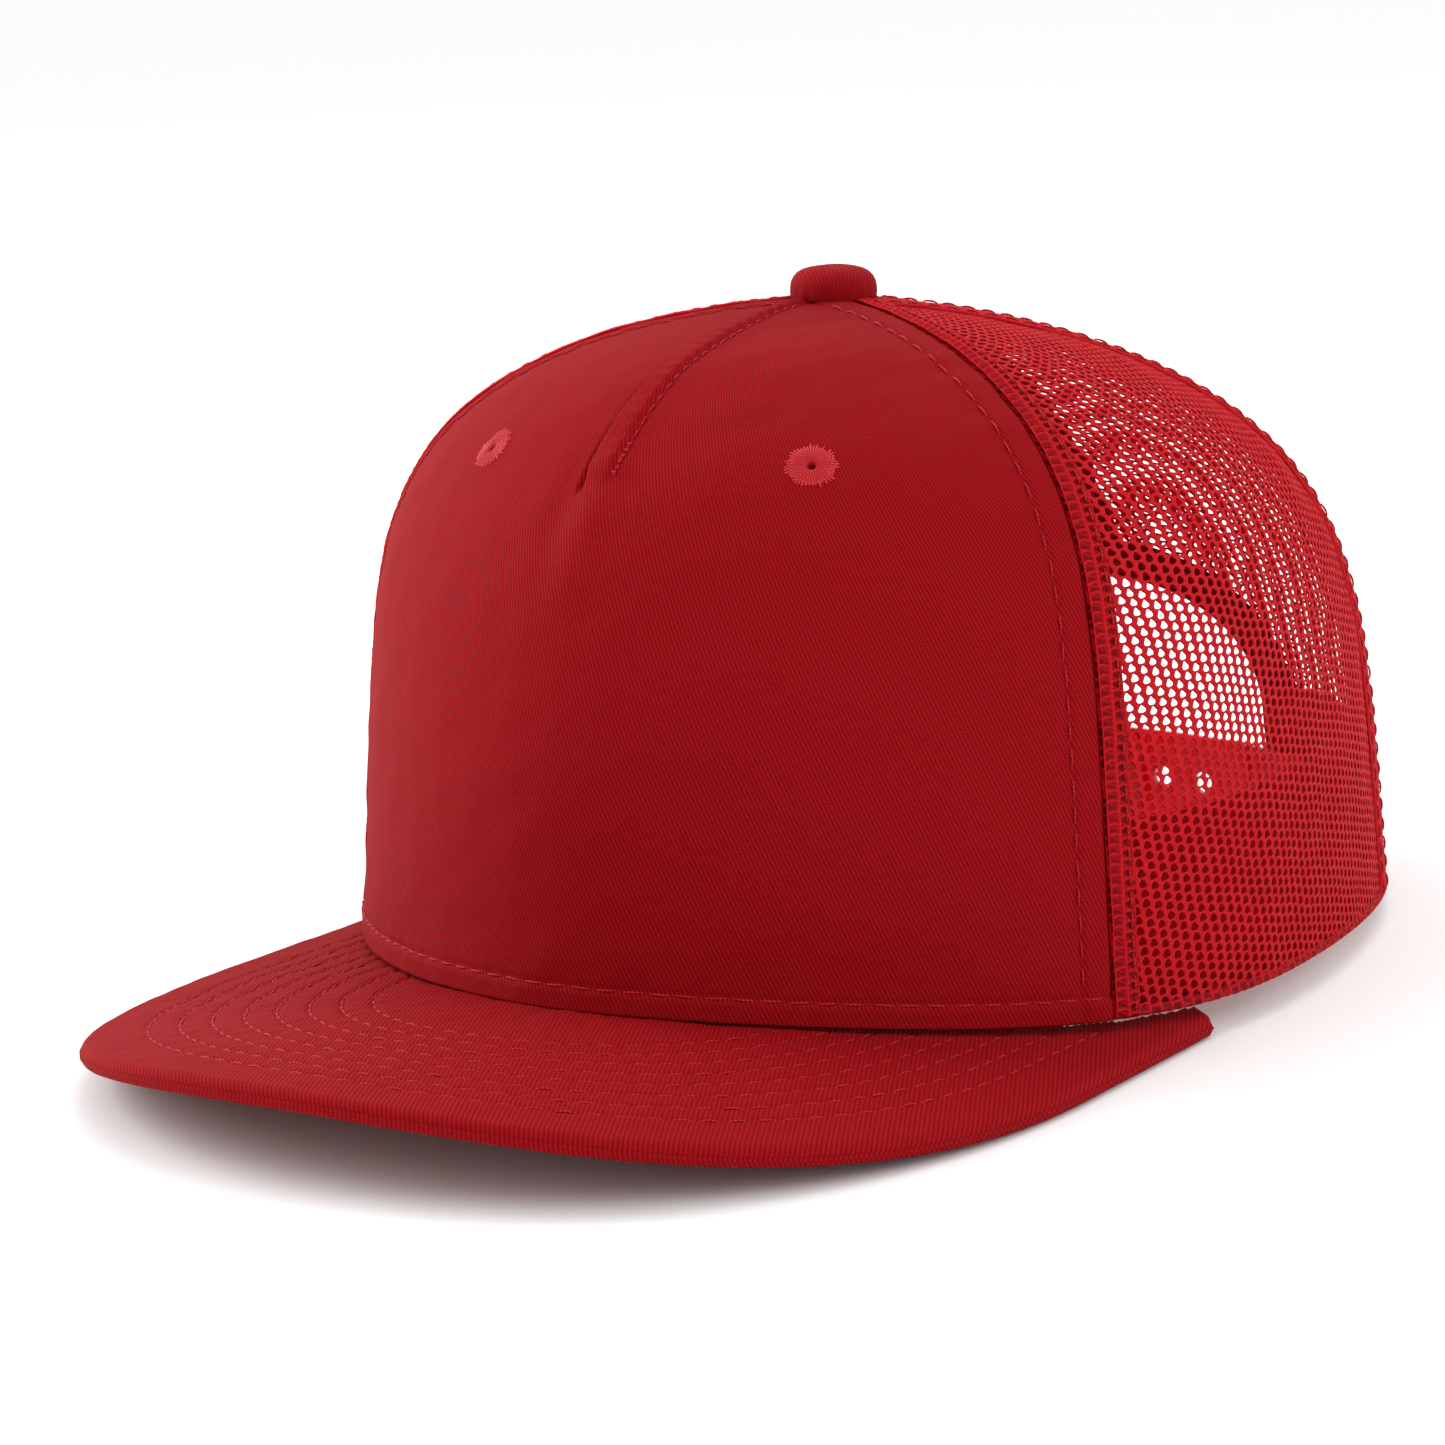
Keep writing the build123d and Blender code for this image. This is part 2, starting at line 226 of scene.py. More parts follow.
def sew(build, path, outward, pitch, radius=0.26, share=0.8, sink=0.12, seed=1):
    """A row of stitches along a path: short lengths of thread whose ends dip into the cloth."""
    path, outward = np.asarray(path, float), np.asarray(outward, float)
    along = np.append(0, np.cumsum(np.linalg.norm(np.diff(path, axis=0), axis=1)))
    count = int(along[-1] / pitch)
    if count < 1:
        return
    pitch = along[-1] / count
    draw = np.random.default_rng(seed)
    starts = np.arange(count) * pitch + pitch * (1 - share) / 2
    starts = starts + draw.uniform(-0.05, 0.05, count) * pitch
    t = np.array([0.0, 0.1, 0.28, 0.5, 0.72, 0.9, 1.0])
    s = starts[:, None] + t * pitch * share
    centre = np.stack([np.interp(s, along, path[:, k]) for k in range(3)], -1)
    normal = np.stack([np.interp(s, along, outward[:, k]) for k in range(3)], -1)
    normal /= np.linalg.norm(normal, axis=-1, keepdims=True)
    ahead = np.gradient(centre, axis=1)
    ahead /= np.linalg.norm(ahead, axis=-1, keepdims=True)
    side = np.cross(ahead, normal)
    arch = np.sin(np.pi * t) ** 0.6
    slant = draw.uniform(-0.1, 0.1, count)[:, None] * (t - 0.5) * 2
    centre = centre + normal * ((arch * (radius + sink) - sink - radius * 0.3)[None, :, None])
    centre = centre + side * slant[..., None]
    size = radius * (0.35 + 0.65 * arch)
    turn = np.linspace(0, 2 * math.pi, 6, endpoint=False)
    ring = (side[:, :, None] * np.cos(turn)[:, None] + normal[:, :, None] * np.sin(turn)[:, None])
    points = centre[:, :, None] + ring * size[None, :, None, None]
    rings, sides = len(t), len(turn)
    faces = grid_faces(rings, sides, close=True)
    faces = (faces[None] + (np.arange(count) * rings * sides)[:, None, None]).reshape(-1, 4)
    u = np.broadcast_to(s[:, :, None], points.shape[:3])
    v = np.broadcast_to(turn * radius, points.shape[:3])
    build.add(points, faces, np.stack([u, v], -1))


# ---- materials ---------------------------------------------------------------------------


def linear(code):
    """Linear colour of an sRGB hex code."""
    values = [int(code[i:i + 2], 16) / 255 for i in (1, 3, 5)]
    return [v / 12.92 if v <= 0.04045 else ((v + 0.055) / 1.055) ** 2.4 for v in values] + [1.0]


def shade(colour, amount):
    """A colour made darker or lighter, with alpha."""
    return [min(1.0, channel * amount) for channel in colour[:3]] + [1.0]


def node(tree, kind, inputs=None, stops=(), **settings):
    """A node with its settings; an input is a value or another node's output, and stops fill a colour ramp."""
    made = tree.nodes.new(kind)
    for name, value in settings.items():
        setattr(made, name, value)
    for name, value in (inputs or {}).items():
        if isinstance(value, bpy.types.NodeSocket):
            tree.links.new(value, made.inputs[name])
        else:
            made.inputs[name].default_value = value
    for number, (place, colour) in enumerate(stops):
        element = made.color_ramp.elements[number]
        element.position, element.color = place, colour
    return made


def new_material(name):
    """An empty material and its output."""
    material = bpy.data.materials.new(name)
    material.use_nodes = True
    material.node_tree.nodes.clear()
    return material, material.node_tree, node(material.node_tree, "ShaderNodeOutputMaterial")


def woven(name, colour, contrast, pitch, lean, yarn, depth, roughness, sheen, fade):
    """Woven cloth: diagonal or straight ribs, crossing yarns, uneven dye and a little fuzz, with painted shade in the
    grooves and painted light on the ribs.

    pitch is the distance from rib to rib in millimetres, lean their slope in degrees.
    """
    material, tree, output = new_material(name)
    cloth = node(tree, "ShaderNodeUVMap", uv_map="cloth_mm").outputs["UV"]
    uneven = node(tree, "ShaderNodeTexNoise", {"Vector": cloth, "Scale": 0.6, "Detail": 2.0, "Roughness": 0.6})
    turned = node(tree, "ShaderNodeVectorRotate", {"Vector": cloth, "Angle": math.radians(lean)},
                  rotation_type="Z_AXIS").outputs[0]
    ribs = node(tree, "ShaderNodeTexWave",
                {"Vector": turned, "Scale": math.pi / 10 / pitch, "Distortion": 0.7, "Detail": 2.0,
                 "Detail Scale": 1.6 / pitch, "Detail Roughness": 0.6},
                wave_type="BANDS", bands_direction="X", wave_profile="SIN").outputs["Fac"]
    yarns = node(tree, "ShaderNodeTexWave",
                 {"Vector": cloth, "Scale": math.pi / 10 / yarn, "Distortion": 1.2, "Detail": 2.0,
                  "Detail Scale": 2.0},
                 wave_type="BANDS", bands_direction="Y", wave_profile="SIN").outputs["Fac"]
    fuzz = node(tree, "ShaderNodeTexNoise", {"Vector": cloth, "Scale": 2.4, "Detail": 3.0, "Roughness": 0.7})
    height = node(tree, "ShaderNodeMath", {0: ribs, 1: 0.62}, operation="MULTIPLY").outputs[0]
    height = node(tree, "ShaderNodeMath", {0: yarns, 1: 0.2, 2: height}, operation="MULTIPLY_ADD").outputs[0]
    height = node(tree, "ShaderNodeMath", {0: fuzz.outputs["Fac"], 1: 0.35, 2: height},
                  operation="MULTIPLY_ADD").outputs[0]
    # Colour by the weave's height: painted shade in the grooves, painted light on the ribs, plus the fuzz's random
    # tone; contrast sets how much.
    weave_shade_and_fuzz = node(tree, "ShaderNodeValToRGB", {"Fac": height},
                stops=[(0.25, shade(colour, 1 - contrast)), (0.85, shade(colour, 1 + contrast))])
    worn = node(tree, "ShaderNodeValToRGB", {"Fac": uneven.outputs["Fac"]},
                stops=[(0.35, shade((1, 1, 1), 1 - fade)), (0.65, shade((1, 1, 1), 1))])
    shown = node(tree, "ShaderNodeMix", {"Factor": 1.0, "A": weave_shade_and_fuzz.outputs["Color"], "B": worn.outputs["Color"]},
                 data_type="RGBA", blend_type="MULTIPLY")
    rough = node(tree, "ShaderNodeMapRange", {"Value": height, "To Min": roughness + 0.08, "To Max": roughness - 0.06})
    bump = node(tree, "ShaderNodeBump", {"Strength": 1.0, "Distance": depth * MM, "Height": height})
    shader = node(tree, "ShaderNodeBsdfPrincipled",
                  {"Base Color": shown.outputs["Result"], "Roughness": rough.outputs["Result"],
                   "Normal": bump.outputs["Normal"], "IOR": 1.5, "Sheen Weight": sheen,
                   "Sheen Roughness": 0.5, "Sheen Tint": shade(colour, 1.8), "Specular IOR Level": 0.07})
    tree.links.new(shader.outputs[0], output.inputs["Surface"])
    return material


def knitted(name, colour, through, roughness):
    """Knitted net: rounded strands of filament yarn, with painted light on their crests and painted shade where they
    dip; through is the share of light that passes into the strands and out behind."""
    material, tree, output = new_material(name)
    cloth = node(tree, "ShaderNodeUVMap", uv_map="cloth_mm").outputs["UV"]
    crest = node(tree, "ShaderNodeAttribute", attribute_name="crest").outputs["Fac"]
    strands = node(tree, "ShaderNodeTexNoise", {"Vector": cloth, "Scale": 3.2, "Detail": 3.0, "Roughness": 0.65})
    uneven = node(tree, "ShaderNodeTexNoise", {"Vector": cloth, "Scale": 0.25, "Detail": 2.0})
    filament = node(tree, "ShaderNodeTexWave",
                    {"Vector": cloth, "Scale": math.pi / 10 / 0.3, "Distortion": 3.0, "Detail": 2.0,
                     "Detail Scale": 2.5},
                    wave_type="BANDS", bands_direction="DIAGONAL", wave_profile="SIN").outputs["Fac"]
    # The crest attribute paints light on the strands' tops and shade where they dip, mixed with random tone from
    # noise.
    value = node(tree, "ShaderNodeMath", {0: strands.outputs["Fac"], 1: 0.5, 2: crest},
                 operation="MULTIPLY_ADD").outputs[0]
    value = node(tree, "ShaderNodeMath", {0: uneven.outputs["Fac"], 1: 0.35, 2: value},
                 operation="MULTIPLY_ADD").outputs[0]
    value = node(tree, "ShaderNodeMath", {0: value, 1: 0.42}, operation="SUBTRACT").outputs[0]
    shown = node(tree, "ShaderNodeValToRGB", {"Fac": value},
                 stops=[(0.1, shade(colour, 0.4)), (0.85, shade(colour, 1.35))]).outputs["Color"]
    height = node(tree, "ShaderNodeMath", {0: filament, 1: 0.4, 2: strands.outputs["Fac"]},
                  operation="MULTIPLY_ADD").outputs[0]
    rough = node(tree, "ShaderNodeMapRange", {"Value": height, "To Min": roughness - 0.08, "To Max": roughness + 0.1})
    bump = node(tree, "ShaderNodeBump", {"Strength": 0.8, "Distance": 0.12 * MM, "Height": height})
    shader = node(tree, "ShaderNodeBsdfPrincipled",
                  {"Base Color": shown, "Roughness": rough.outputs["Result"], "Normal": bump.outputs["Normal"],
                   "IOR": 1.57, "Sheen Weight": 0.05, "Sheen Roughness": 0.4,
                   "Sheen Tint": shade(colour, 1.6), "Specular IOR Level": 0.1})
    behind = node(tree, "ShaderNodeBsdfTranslucent", {"Color": shown, "Normal": bump.outputs["Normal"]})
    both = node(tree, "ShaderNodeMixShader", {0: through, 1: shader.outputs[0], 2: behind.outputs[0]})
    tree.links.new(both.outputs[0], output.inputs["Surface"])
    return material


def spun(name, colour, shine):
    """Sewing thread: a tight slanted twist with a soft shine, painted shade between the turns of the twist and painted
    light on them.
    """
    material, tree, output = new_material(name)
    cloth = node(tree, "ShaderNodeUVMap", uv_map="cloth_mm").outputs["UV"]
    twist = node(tree, "ShaderNodeTexWave",
                 {"Vector": cloth, "Scale": math.pi / 10 / 0.35, "Distortion": 0.6},
                 wave_type="BANDS", bands_direction="DIAGONAL", wave_profile="SIN").outputs["Fac"]
    uneven = node(tree, "ShaderNodeTexNoise", {"Vector": cloth, "Scale": 0.8, "Detail": 2.0})
    # Colour follows the twist with random tone: painted shade between its turns, painted light on them.
    value = node(tree, "ShaderNodeMath", {0: uneven.outputs["Fac"], 1: 0.6, 2: twist}, operation="MULTIPLY_ADD")
    shown = node(tree, "ShaderNodeValToRGB", {"Fac": value.outputs[0]},
                 stops=[(0.2, shade(colour, 0.6)), (1.0, shade(colour, 1.25))])
    rough = node(tree, "ShaderNodeMapRange", {"Value": twist, "To Min": 0.62, "To Max": 0.45})
    bump = node(tree, "ShaderNodeBump", {"Strength": 0.9, "Distance": 0.08 * MM, "Height": twist})
    shader = node(tree, "ShaderNodeBsdfPrincipled",
                  {"Base Color": shown.outputs["Color"], "Roughness": rough.outputs["Result"],
                   "Normal": bump.outputs["Normal"], "IOR": 1.55, "Specular IOR Level": shine})
    tree.links.new(shader.outputs[0], output.inputs["Surface"])
    return material


def moulded(name, colour, roughness, depth, grain, scale):
    """Moulded plastic: uneven tone, a fine pebbled skin, and light that sinks in by depth millimetres."""
    material, tree, output = new_material(name)
    place = node(tree, "ShaderNodeTexCoord").outputs["Object"]
    tone = node(tree, "ShaderNodeTexNoise", {"Vector": place, "Scale": 60.0, "Detail": 2.0})
    shown = node(tree, "ShaderNodeValToRGB", {"Fac": tone.outputs["Fac"]},
                 stops=[(0.3, shade(colour, 0.92)), (0.7, shade(colour, 1.06))])
    skin = node(tree, "ShaderNodeTexNoise", {"Vector": place, "Scale": scale, "Detail": 3.0, "Roughness": 0.6})
    rough = node(tree, "ShaderNodeMapRange",
                 {"Value": skin.outputs["Fac"], "To Min": roughness - 0.06, "To Max": roughness + 0.1})
    bump = node(tree, "ShaderNodeBump", {"Strength": 0.5, "Distance": grain * MM, "Height": skin.outputs["Fac"]})
    shader = node(tree, "ShaderNodeBsdfPrincipled",
                  {"Base Color": shown.outputs["Color"], "Roughness": rough.outputs["Result"],
                   "Normal": bump.outputs["Normal"], "IOR": 1.51, "Subsurface Weight": 1.0 if depth else 0.0,
                   "Subsurface Radius": (1.0, 0.25, 0.2), "Subsurface Scale": max(depth, 0.1) * MM})
    tree.links.new(shader.outputs[0], output.inputs["Surface"])
    return material


def stamped_steel(name, colour):
    """Tinned sheet steel, stamped: bright, a little blurred, with fine scuffs from handling."""
    material, tree, output = new_material(name)
    place = node(tree, "ShaderNodeTexCoord").outputs["Object"]
    scuffs = node(tree, "ShaderNodeTexNoise", {"Vector": place, "Scale": 900.0, "Detail": 4.0, "Roughness": 0.7})
    shown = node(tree, "ShaderNodeValToRGB", {"Fac": scuffs.outputs["Fac"]},
                 stops=[(0.3, shade(colour, 0.8)), (0.7, shade(colour, 1.1))])
    rough = node(tree, "ShaderNodeMapRange", {"Value": scuffs.outputs["Fac"], "To Min": 0.25, "To Max": 0.45})
    bump = node(tree, "ShaderNodeBump", {"Strength": 0.3, "Distance": 0.03 * MM, "Height": scuffs.outputs["Fac"]})
    shader = node(tree, "ShaderNodeBsdfPrincipled",
                  {"Base Color": shown.outputs["Color"], "Roughness": rough.outputs["Result"],
                   "Normal": bump.outputs["Normal"], "Metallic": 1.0})
    tree.links.new(shader.outputs[0], output.inputs["Surface"])
    return material


MATERIALS = {}


class CAP_OT_finishes(bpy.types.Operator):
    """The cap's finishes, in the colours set. Thread spacings are real ones, apart from those marked coarser"""
    bl_idname = "cap.finishes"
    bl_label = "Finishes"

    def execute(self, context):
        dye = context.scene.cap_colours
        # Cotton twill, piece-dyed: deep red and matt, with fine steep ribs. Real ribs are 0.6 mm apart, drawn 0.7 mm.
        MATERIALS["twill"] = woven("cotton_twill_dyed", dye.cloth, 0.34, 0.7, -27, 0.5, 0.06, 0.82, 0.10, 0.07)
        # The button's twill is the same cloth pulled tight over a dome, so its ribs are flatter and get less painted
        # shade and light.
        MATERIALS["button_twill"] = woven("cotton_twill_stretched", dye.cloth, 0.2, 0.7, -40, 0.5, 0.03, 0.78,
                                          0.10, 0.07)
        # Polyester net, warp-knitted from filament yarn: brighter than the twill, and light passes into it.
        MATERIALS["net"] = knitted("polyester_net_knitted", dye.net, 0.4, 0.5)
        # Buckram, woven cotton stiffened with size: off-white, open and dry.
        MATERIALS["buckram"] = woven("buckram_sized", dye.backing, 0.12, 1.1, 0, 1.1, 0.2, 0.85, 0.05, 0.08)
        # Cotton tape, plain woven across its width: fine cross ribs.
        MATERIALS["tape"] = woven("cotton_tape_woven", dye.cloth, 0.25, 0.8, 0, 0.9, 0.1, 0.8, 0.10, 0.08)
        # Cotton sateen band with a soft hand, worn against the head.
        MATERIALS["band"] = woven("cotton_sateen_band", dye.band, 0.22, 0.7, 27, 0.6, 0.08, 0.85, 0.15, 0.10)
        # Polyester sewing thread, twisted: a little brighter than the cloth. Real twist is 0.2 mm, drawn 0.35 mm.
        MATERIALS["thread"] = spun("polyester_thread_twisted", dye.thread, 0.15)
        # Rayon embroidery thread: smoother and brighter than the cloth.
        MATERIALS["embroidery"] = spun("rayon_thread_embroidered", dye.embroidery, 0.3)
        # Low-density polyethylene, injection moulded: waxy, vivid, and it glows with light from behind.
        MATERIALS["plastic"] = moulded("polyethylene_moulded", dye.plastic, 0.32, 2.5, 0.05, 1500.0)
        # High-density polyethylene sheet, die-cut: milky and matt.
        MATERIALS["board"] = moulded("polyethylene_sheet_cut", dye.board, 0.5, 0.0, 0.04, 900.0)
        # Tinned sheet steel: a dull silver.
        MATERIALS["steel"] = stamped_steel("tinned_steel_stamped", dye.metal)
        return {"FINISHED"}


# ---- sizes and colours that a user may change --------------------------------------------


def length(name, description, size, low, high):
    """A length setting, given in millimetres and kept in metres."""
    return FloatProperty(name=name, description=description, default=size * MM, min=low * MM, max=high * MM,
                         unit="LENGTH", precision=5)


def colour(name, description, code):
    """A colour setting, given as an sRGB hex code."""
    return FloatVectorProperty(name=name, description=description, subtype="COLOR", default=linear(code)[:3],
                               min=0.0, max=1.0)


def millimetres(group):
    """A group's settings, its lengths in millimetres."""
    kinds = group.bl_rna.properties
    return SimpleNamespace(**{name: getattr(group, name) / MM if kinds[name].unit == "LENGTH" else getattr(group, name)
                              for name in group.__annotations__})


class CapColourSettings(bpy.types.PropertyGroup):
    cloth: colour("Twill", "Dye of the front panel, bill, button and tapes", "#84060d")
    net: colour("Net", "Dye of the net panels", "#c2121e")
    band: colour("Sweatband", "Dye of the sweatband", "#a00c14")
    thread: colour("Thread", "Dye of the sewing thread", "#a3121a")
    embroidery: colour("Embroidery", "Dye of the eyelets' thread", "#b81824")
    backing: colour("Backing", "Colour of the buckram", "#d2c4ba")
    plastic: colour("Strap", "Colour of the snap strap", "#e00a11")
    board: colour("Board", "Colour of the bill's board", "#d6d6d1")
    metal: colour("Metal", "Colour of the button's steel", "#bfc0c2")


class CapStitchSettings(bpy.types.PropertyGroup):
    stitch_length: length("Stitch length", "Length of a topstitch", 4.3, 2, 8)
    thread_radius: length("Thread radius", "Half the thread's thickness", 0.2, 0.1, 0.6)
    hem_stitch: length("Hem stitching", "Height of the topstitch over the rim", 3.7, 2, 8)
    seam_stitch: length("Seam stitching", "Distance of the topstitch from the front seams", 5.5, 2, 10)


class CapNetSettings(bpy.types.PropertyGroup):
    column: length("Column", "Distance between upright strands", 2.27, 1.5, 5)
    row: length("Row", "Distance between level strands", 1.66, 1, 4)
    fold: length("Seam fold", "Width of the doubled net beside a seam", 4.6, 2, 8)


class CapBillSettings(bpy.types.PropertyGroup):
    rows: IntProperty(name="Rows of stitching", description="Rows that follow the bill's outline",
                      default=8, min=0, max=12)
    first_row: length("First row", "Distance of the first row from the edge", 10.5, 4, 20)
    row_gap: length("Row spacing", "Distance between rows", 5, 3, 10)


class CapLightSettings(bpy.types.PropertyGroup):
    floor: colour("Floor", "Colour of the floor", "#f3f3f3")
    key_power: FloatProperty(name="Main light", description="Power of the main light", unit="POWER",
                             default=16.0, min=0.0)
    sky: FloatProperty(name="Surround", description="Brightness of the even light from all round",
                       default=1.08, min=0.0)


# ---- front panel -------------------------------------------------------------------------

DART_RISE, DART_WIDTH = 0.79, 5.4


def front_lift(angle, rise, stitches):
    """How far the front panel's cloth stands out: the pleat, the hems and slight unevenness."""
    place = crown(angle, rise)
    seam = FRONT_SEAM - np.abs(angle)
    from_seam = seam * across_rate(FRONT_SEAM, rise)
    from_rim = rise * (CROWN_TOP - rim_height(angle))
    top = meridian_place(rise)
    x = place[..., 0]
    stitch, fold = dart_lines(top)
    window = ease(top, DART_END - 1.5, DART_END + 3)
    lap = ease(x, fold - 0.2, fold + 0.25) * (1 - 0.85 * ease(x, stitch - 1.2, stitch + 0.3))
    lap *= 1 - ease(x, stitch + 0.5, stitch + 4)
    lift = window * (0.95 * lap - 0.25 * groove(x - stitch, 0.45))
    lift -= 0.5 * window * groove(np.minimum(x - fold + 0.2, 0), 0.9) * (x < fold)
    lift += window * 0.12 * np.sin(top * 2 * math.pi / 3.4) * groove(x - stitch + 1.0, 1.6)
    slit = ease(top, DART_END - 4, DART_END - 0.5) * (1 - ease(top, DART_END + 4, DART_END + 9))
    lift -= 0.9 * slit * groove(x - fold + 0.45, 0.6)
    pucker = ease(top, DART_END - 26, DART_END - 3) * (1 - ease(top, DART_END, DART_END + 10))
    lift += pucker * (0.55 * groove(x - fold - 3.5, 4.0) - 0.35 * groove(x - fold + 2.5, 3.0))
    lift += 0.5 * groove(x, 12.0) * (1 - ease(top, DART_END - 30, DART_END))
    lift -= 0.9 * groove(from_seam, 0.55)
    lift += 0.35 * (1 - ease(from_seam, stitches.seam_stitch - 0.4, stitches.seam_stitch + 0.6))
    lift -= 0.32 * groove(from_seam - stitches.seam_stitch, 0.55)
    lift += 0.35 * (1 - ease(from_rim, stitches.hem_stitch - 0.4, stitches.hem_stitch + 0.6))
    lift -= 0.3 * groove(from_rim - stitches.hem_stitch, 0.55)
    pull = ripple(top, x * 0, 7.0, 3)
    lift += 0.10 * pull * groove(from_seam - stitches.seam_stitch, 3.0)
    lift += 0.09 * ripple(x, x * 0, 6.0, 5) * groove(from_rim - stitches.hem_stitch, 2.5)
    lift += 0.28 * ripple(x, top, 55.0, 8) * ease(from_seam, 2, 14) * ease(from_rim, 2, 12)
    lift += 0.07 * ripple(x, top, 14.0, 9)
    return lift


def dart_lines(top):
    """Sideways places of the pleat's stitching and of its folded edge, at lengths up the panel."""
    share = np.clip((top - DART_END) / (FRONT_MERIDIAN[1][-1] - DART_END), 0, 1)
    stitch = 2.3 - 2.6 * share
    return stitch, stitch - DART_WIDTH * (1 - 0.6 * share)


def meridian_place(rise):
    """Length along the middle of the front from the rim to a rise."""
    rises, lengths = FRONT_MERIDIAN
    return np.interp(rise, rises, lengths)


FRONT_MERIDIAN = meridian(0.0)
DART_END = float(meridian_place(DART_RISE))


def eyelet_centres():
    return [crown(side * angle, EYELET_RISE) for side, angle in EYELET_ANGLES.items()]


def clear_of_eyelets(middles):
    """Mask of faces that lie clear of both eyelet holes."""
    keep = np.ones(len(middles), bool)
    for centre in eyelet_centres():
        keep &= np.linalg.norm(middles - centre, axis=1) > 2.4
    return keep


def outward_at(angle, rise, depth=0.0):
    """Outward directions at places of the crown."""
    out = crown(angle, rise, np.asarray(depth) - 1.0) - crown(angle, rise, depth)
    return out / np.linalg.norm(out, axis=-1, keepdims=True)


def crown_stitches(build, angles, rises, depth, settings, pitch=None, inward=False, seed=1):
    """A row of stitches along a line on the crown."""
    path = crown(angles, rises, depth)
    outward = outward_at(angles, rises, depth)
    sew(build, path, -outward if inward else outward, pitch or settings.stitch_length,
        settings.thread_radius, seed=seed)


class CAP_OT_front_panel(bpy.types.Operator):
    """Front panel of twill, with its pleat, hems and topstitching"""
    bl_idname = "cap.front_panel"
    bl_label = "Front panel"

    def execute(self, context):
        settings = millimetres(context.scene.cap_stitches)
        angles = spaced((-FRONT_SEAM, FRONT_SEAM, 0.5), (-5.0, 4.0, 0.2), (-FRONT_SEAM, -56, 0.25),
                        (56, FRONT_SEAM, 0.25))
        lengths = spaced((0, 8, 0.4), (8, DART_END - 12, 0.8), (DART_END - 12, float(FRONT_MERIDIAN[1][-1]), 0.4))
        rises = rises_along(0.0, lengths)
        angle, rise = np.meshgrid(angles, rises)
        lift = front_lift(angle, rise, settings)
        points = crown(angle, rise, -lift)
        hem = []
        for turn in (150, 110, 70, 30):
            depth = 0.5 - 0.5 * math.cos(math.radians(180 - turn)) + 0.15
            low = crown(angles, 0.0, depth)
            low[:, 2] -= 0.45 * math.sin(math.radians(turn)) - 0.1
            hem.append(low)
        under = crown(angles, rises_along(0.0, [3.0])[0], 0.8)
        points = np.concatenate([under[None], np.array(hem[::-1]), points])
        around = np.concatenate([np.array([-4.5, -1.6, -1.2, -0.8, -0.4]), lengths])
        across = np.radians(angles)[None, :] * FRONT_REACH
        build = Build()
        build.grid(points, across, around[:, None], keep=clear_of_eyelets)
        panel = build.piece("front_panel_cloth", MATERIALS["twill"], replaces=["front_panel"], slot="twill")

        thread = Build()
        line = even(-FRONT_SEAM + 1, FRONT_SEAM - 1, 0.6)
        level = settings.hem_stitch / (CROWN_TOP - rim_height(line))
        crown_stitches(thread, line, level, -front_lift(line, level, settings) - 0.05, settings, seed=11)
        tall = rises_along(FRONT_SEAM, even(5, float(meridian(FRONT_SEAM)[1][-1]) - 4, 1.0))
        for side in (1, -1):
            seam = side * (FRONT_SEAM - settings.seam_stitch / across_rate(FRONT_SEAM, tall))
            crown_stitches(thread, seam, tall, -front_lift(seam, tall, settings) - 0.05, settings, seed=12 + side)
        places = even(DART_END + 2.5, float(FRONT_MERIDIAN[1][-1]) - 4, 0.7)
        dart = rises_along(0.0, places)
        turn = dart_lines(places)[0] / across_rate(0.0, dart)
        crown_stitches(thread, turn, dart, -front_lift(turn, dart, settings) - 0.05, settings, pitch=3.0, seed=15)
        places = even(DART_END + 0.5, DART_END + 8, 0.3)
        tack = rises_along(0.0, places)
        turn = dart_lines(places)[0] / across_rate(0.0, tack)
        for shift in (-0.3, 0.0, 0.3):
            crown_stitches(thread, turn + shift / 1.6, tack, -front_lift(turn, tack, settings) - 0.1, settings,
                           pitch=1.1, seed=int(20 + shift * 10))
        thread.piece("front_panel_stitching", MATERIALS["thread"], slot="thread")
        return {"FINISHED"}


# ---- linings inside ----------------------------------------------------------------------


def lining(build, angles, rises, depth_out, depth_in, cloth_u, cloth_v, keep=None):
    """A closed thin layer of cloth between two depths, with rounded edges."""
    middle = (depth_out + depth_in) / 2
    half = (depth_in - depth_out) / 2
    angle, rise = np.meshgrid(angles, rises)
    rim_round = np.minimum(1, np.minimum(np.arange(len(rises)), np.arange(len(rises))[::-1]))[:, None]
    side_round = np.minimum(1, np.minimum(np.arange(len(angles)), np.arange(len(angles))[::-1]))[None, :]
    swell = half * rim_round * side_round
    uneven = 0.05 * ripple(cloth_u, cloth_v, 20.0, 31)
    outer = crown(angle, rise, middle - swell + uneven)
    inner = crown(angle, rise, middle + swell + uneven)
    build.grid(outer, cloth_u, cloth_v, keep=keep)
    build.grid(inner, cloth_u, cloth_v, flip=True, keep=keep)


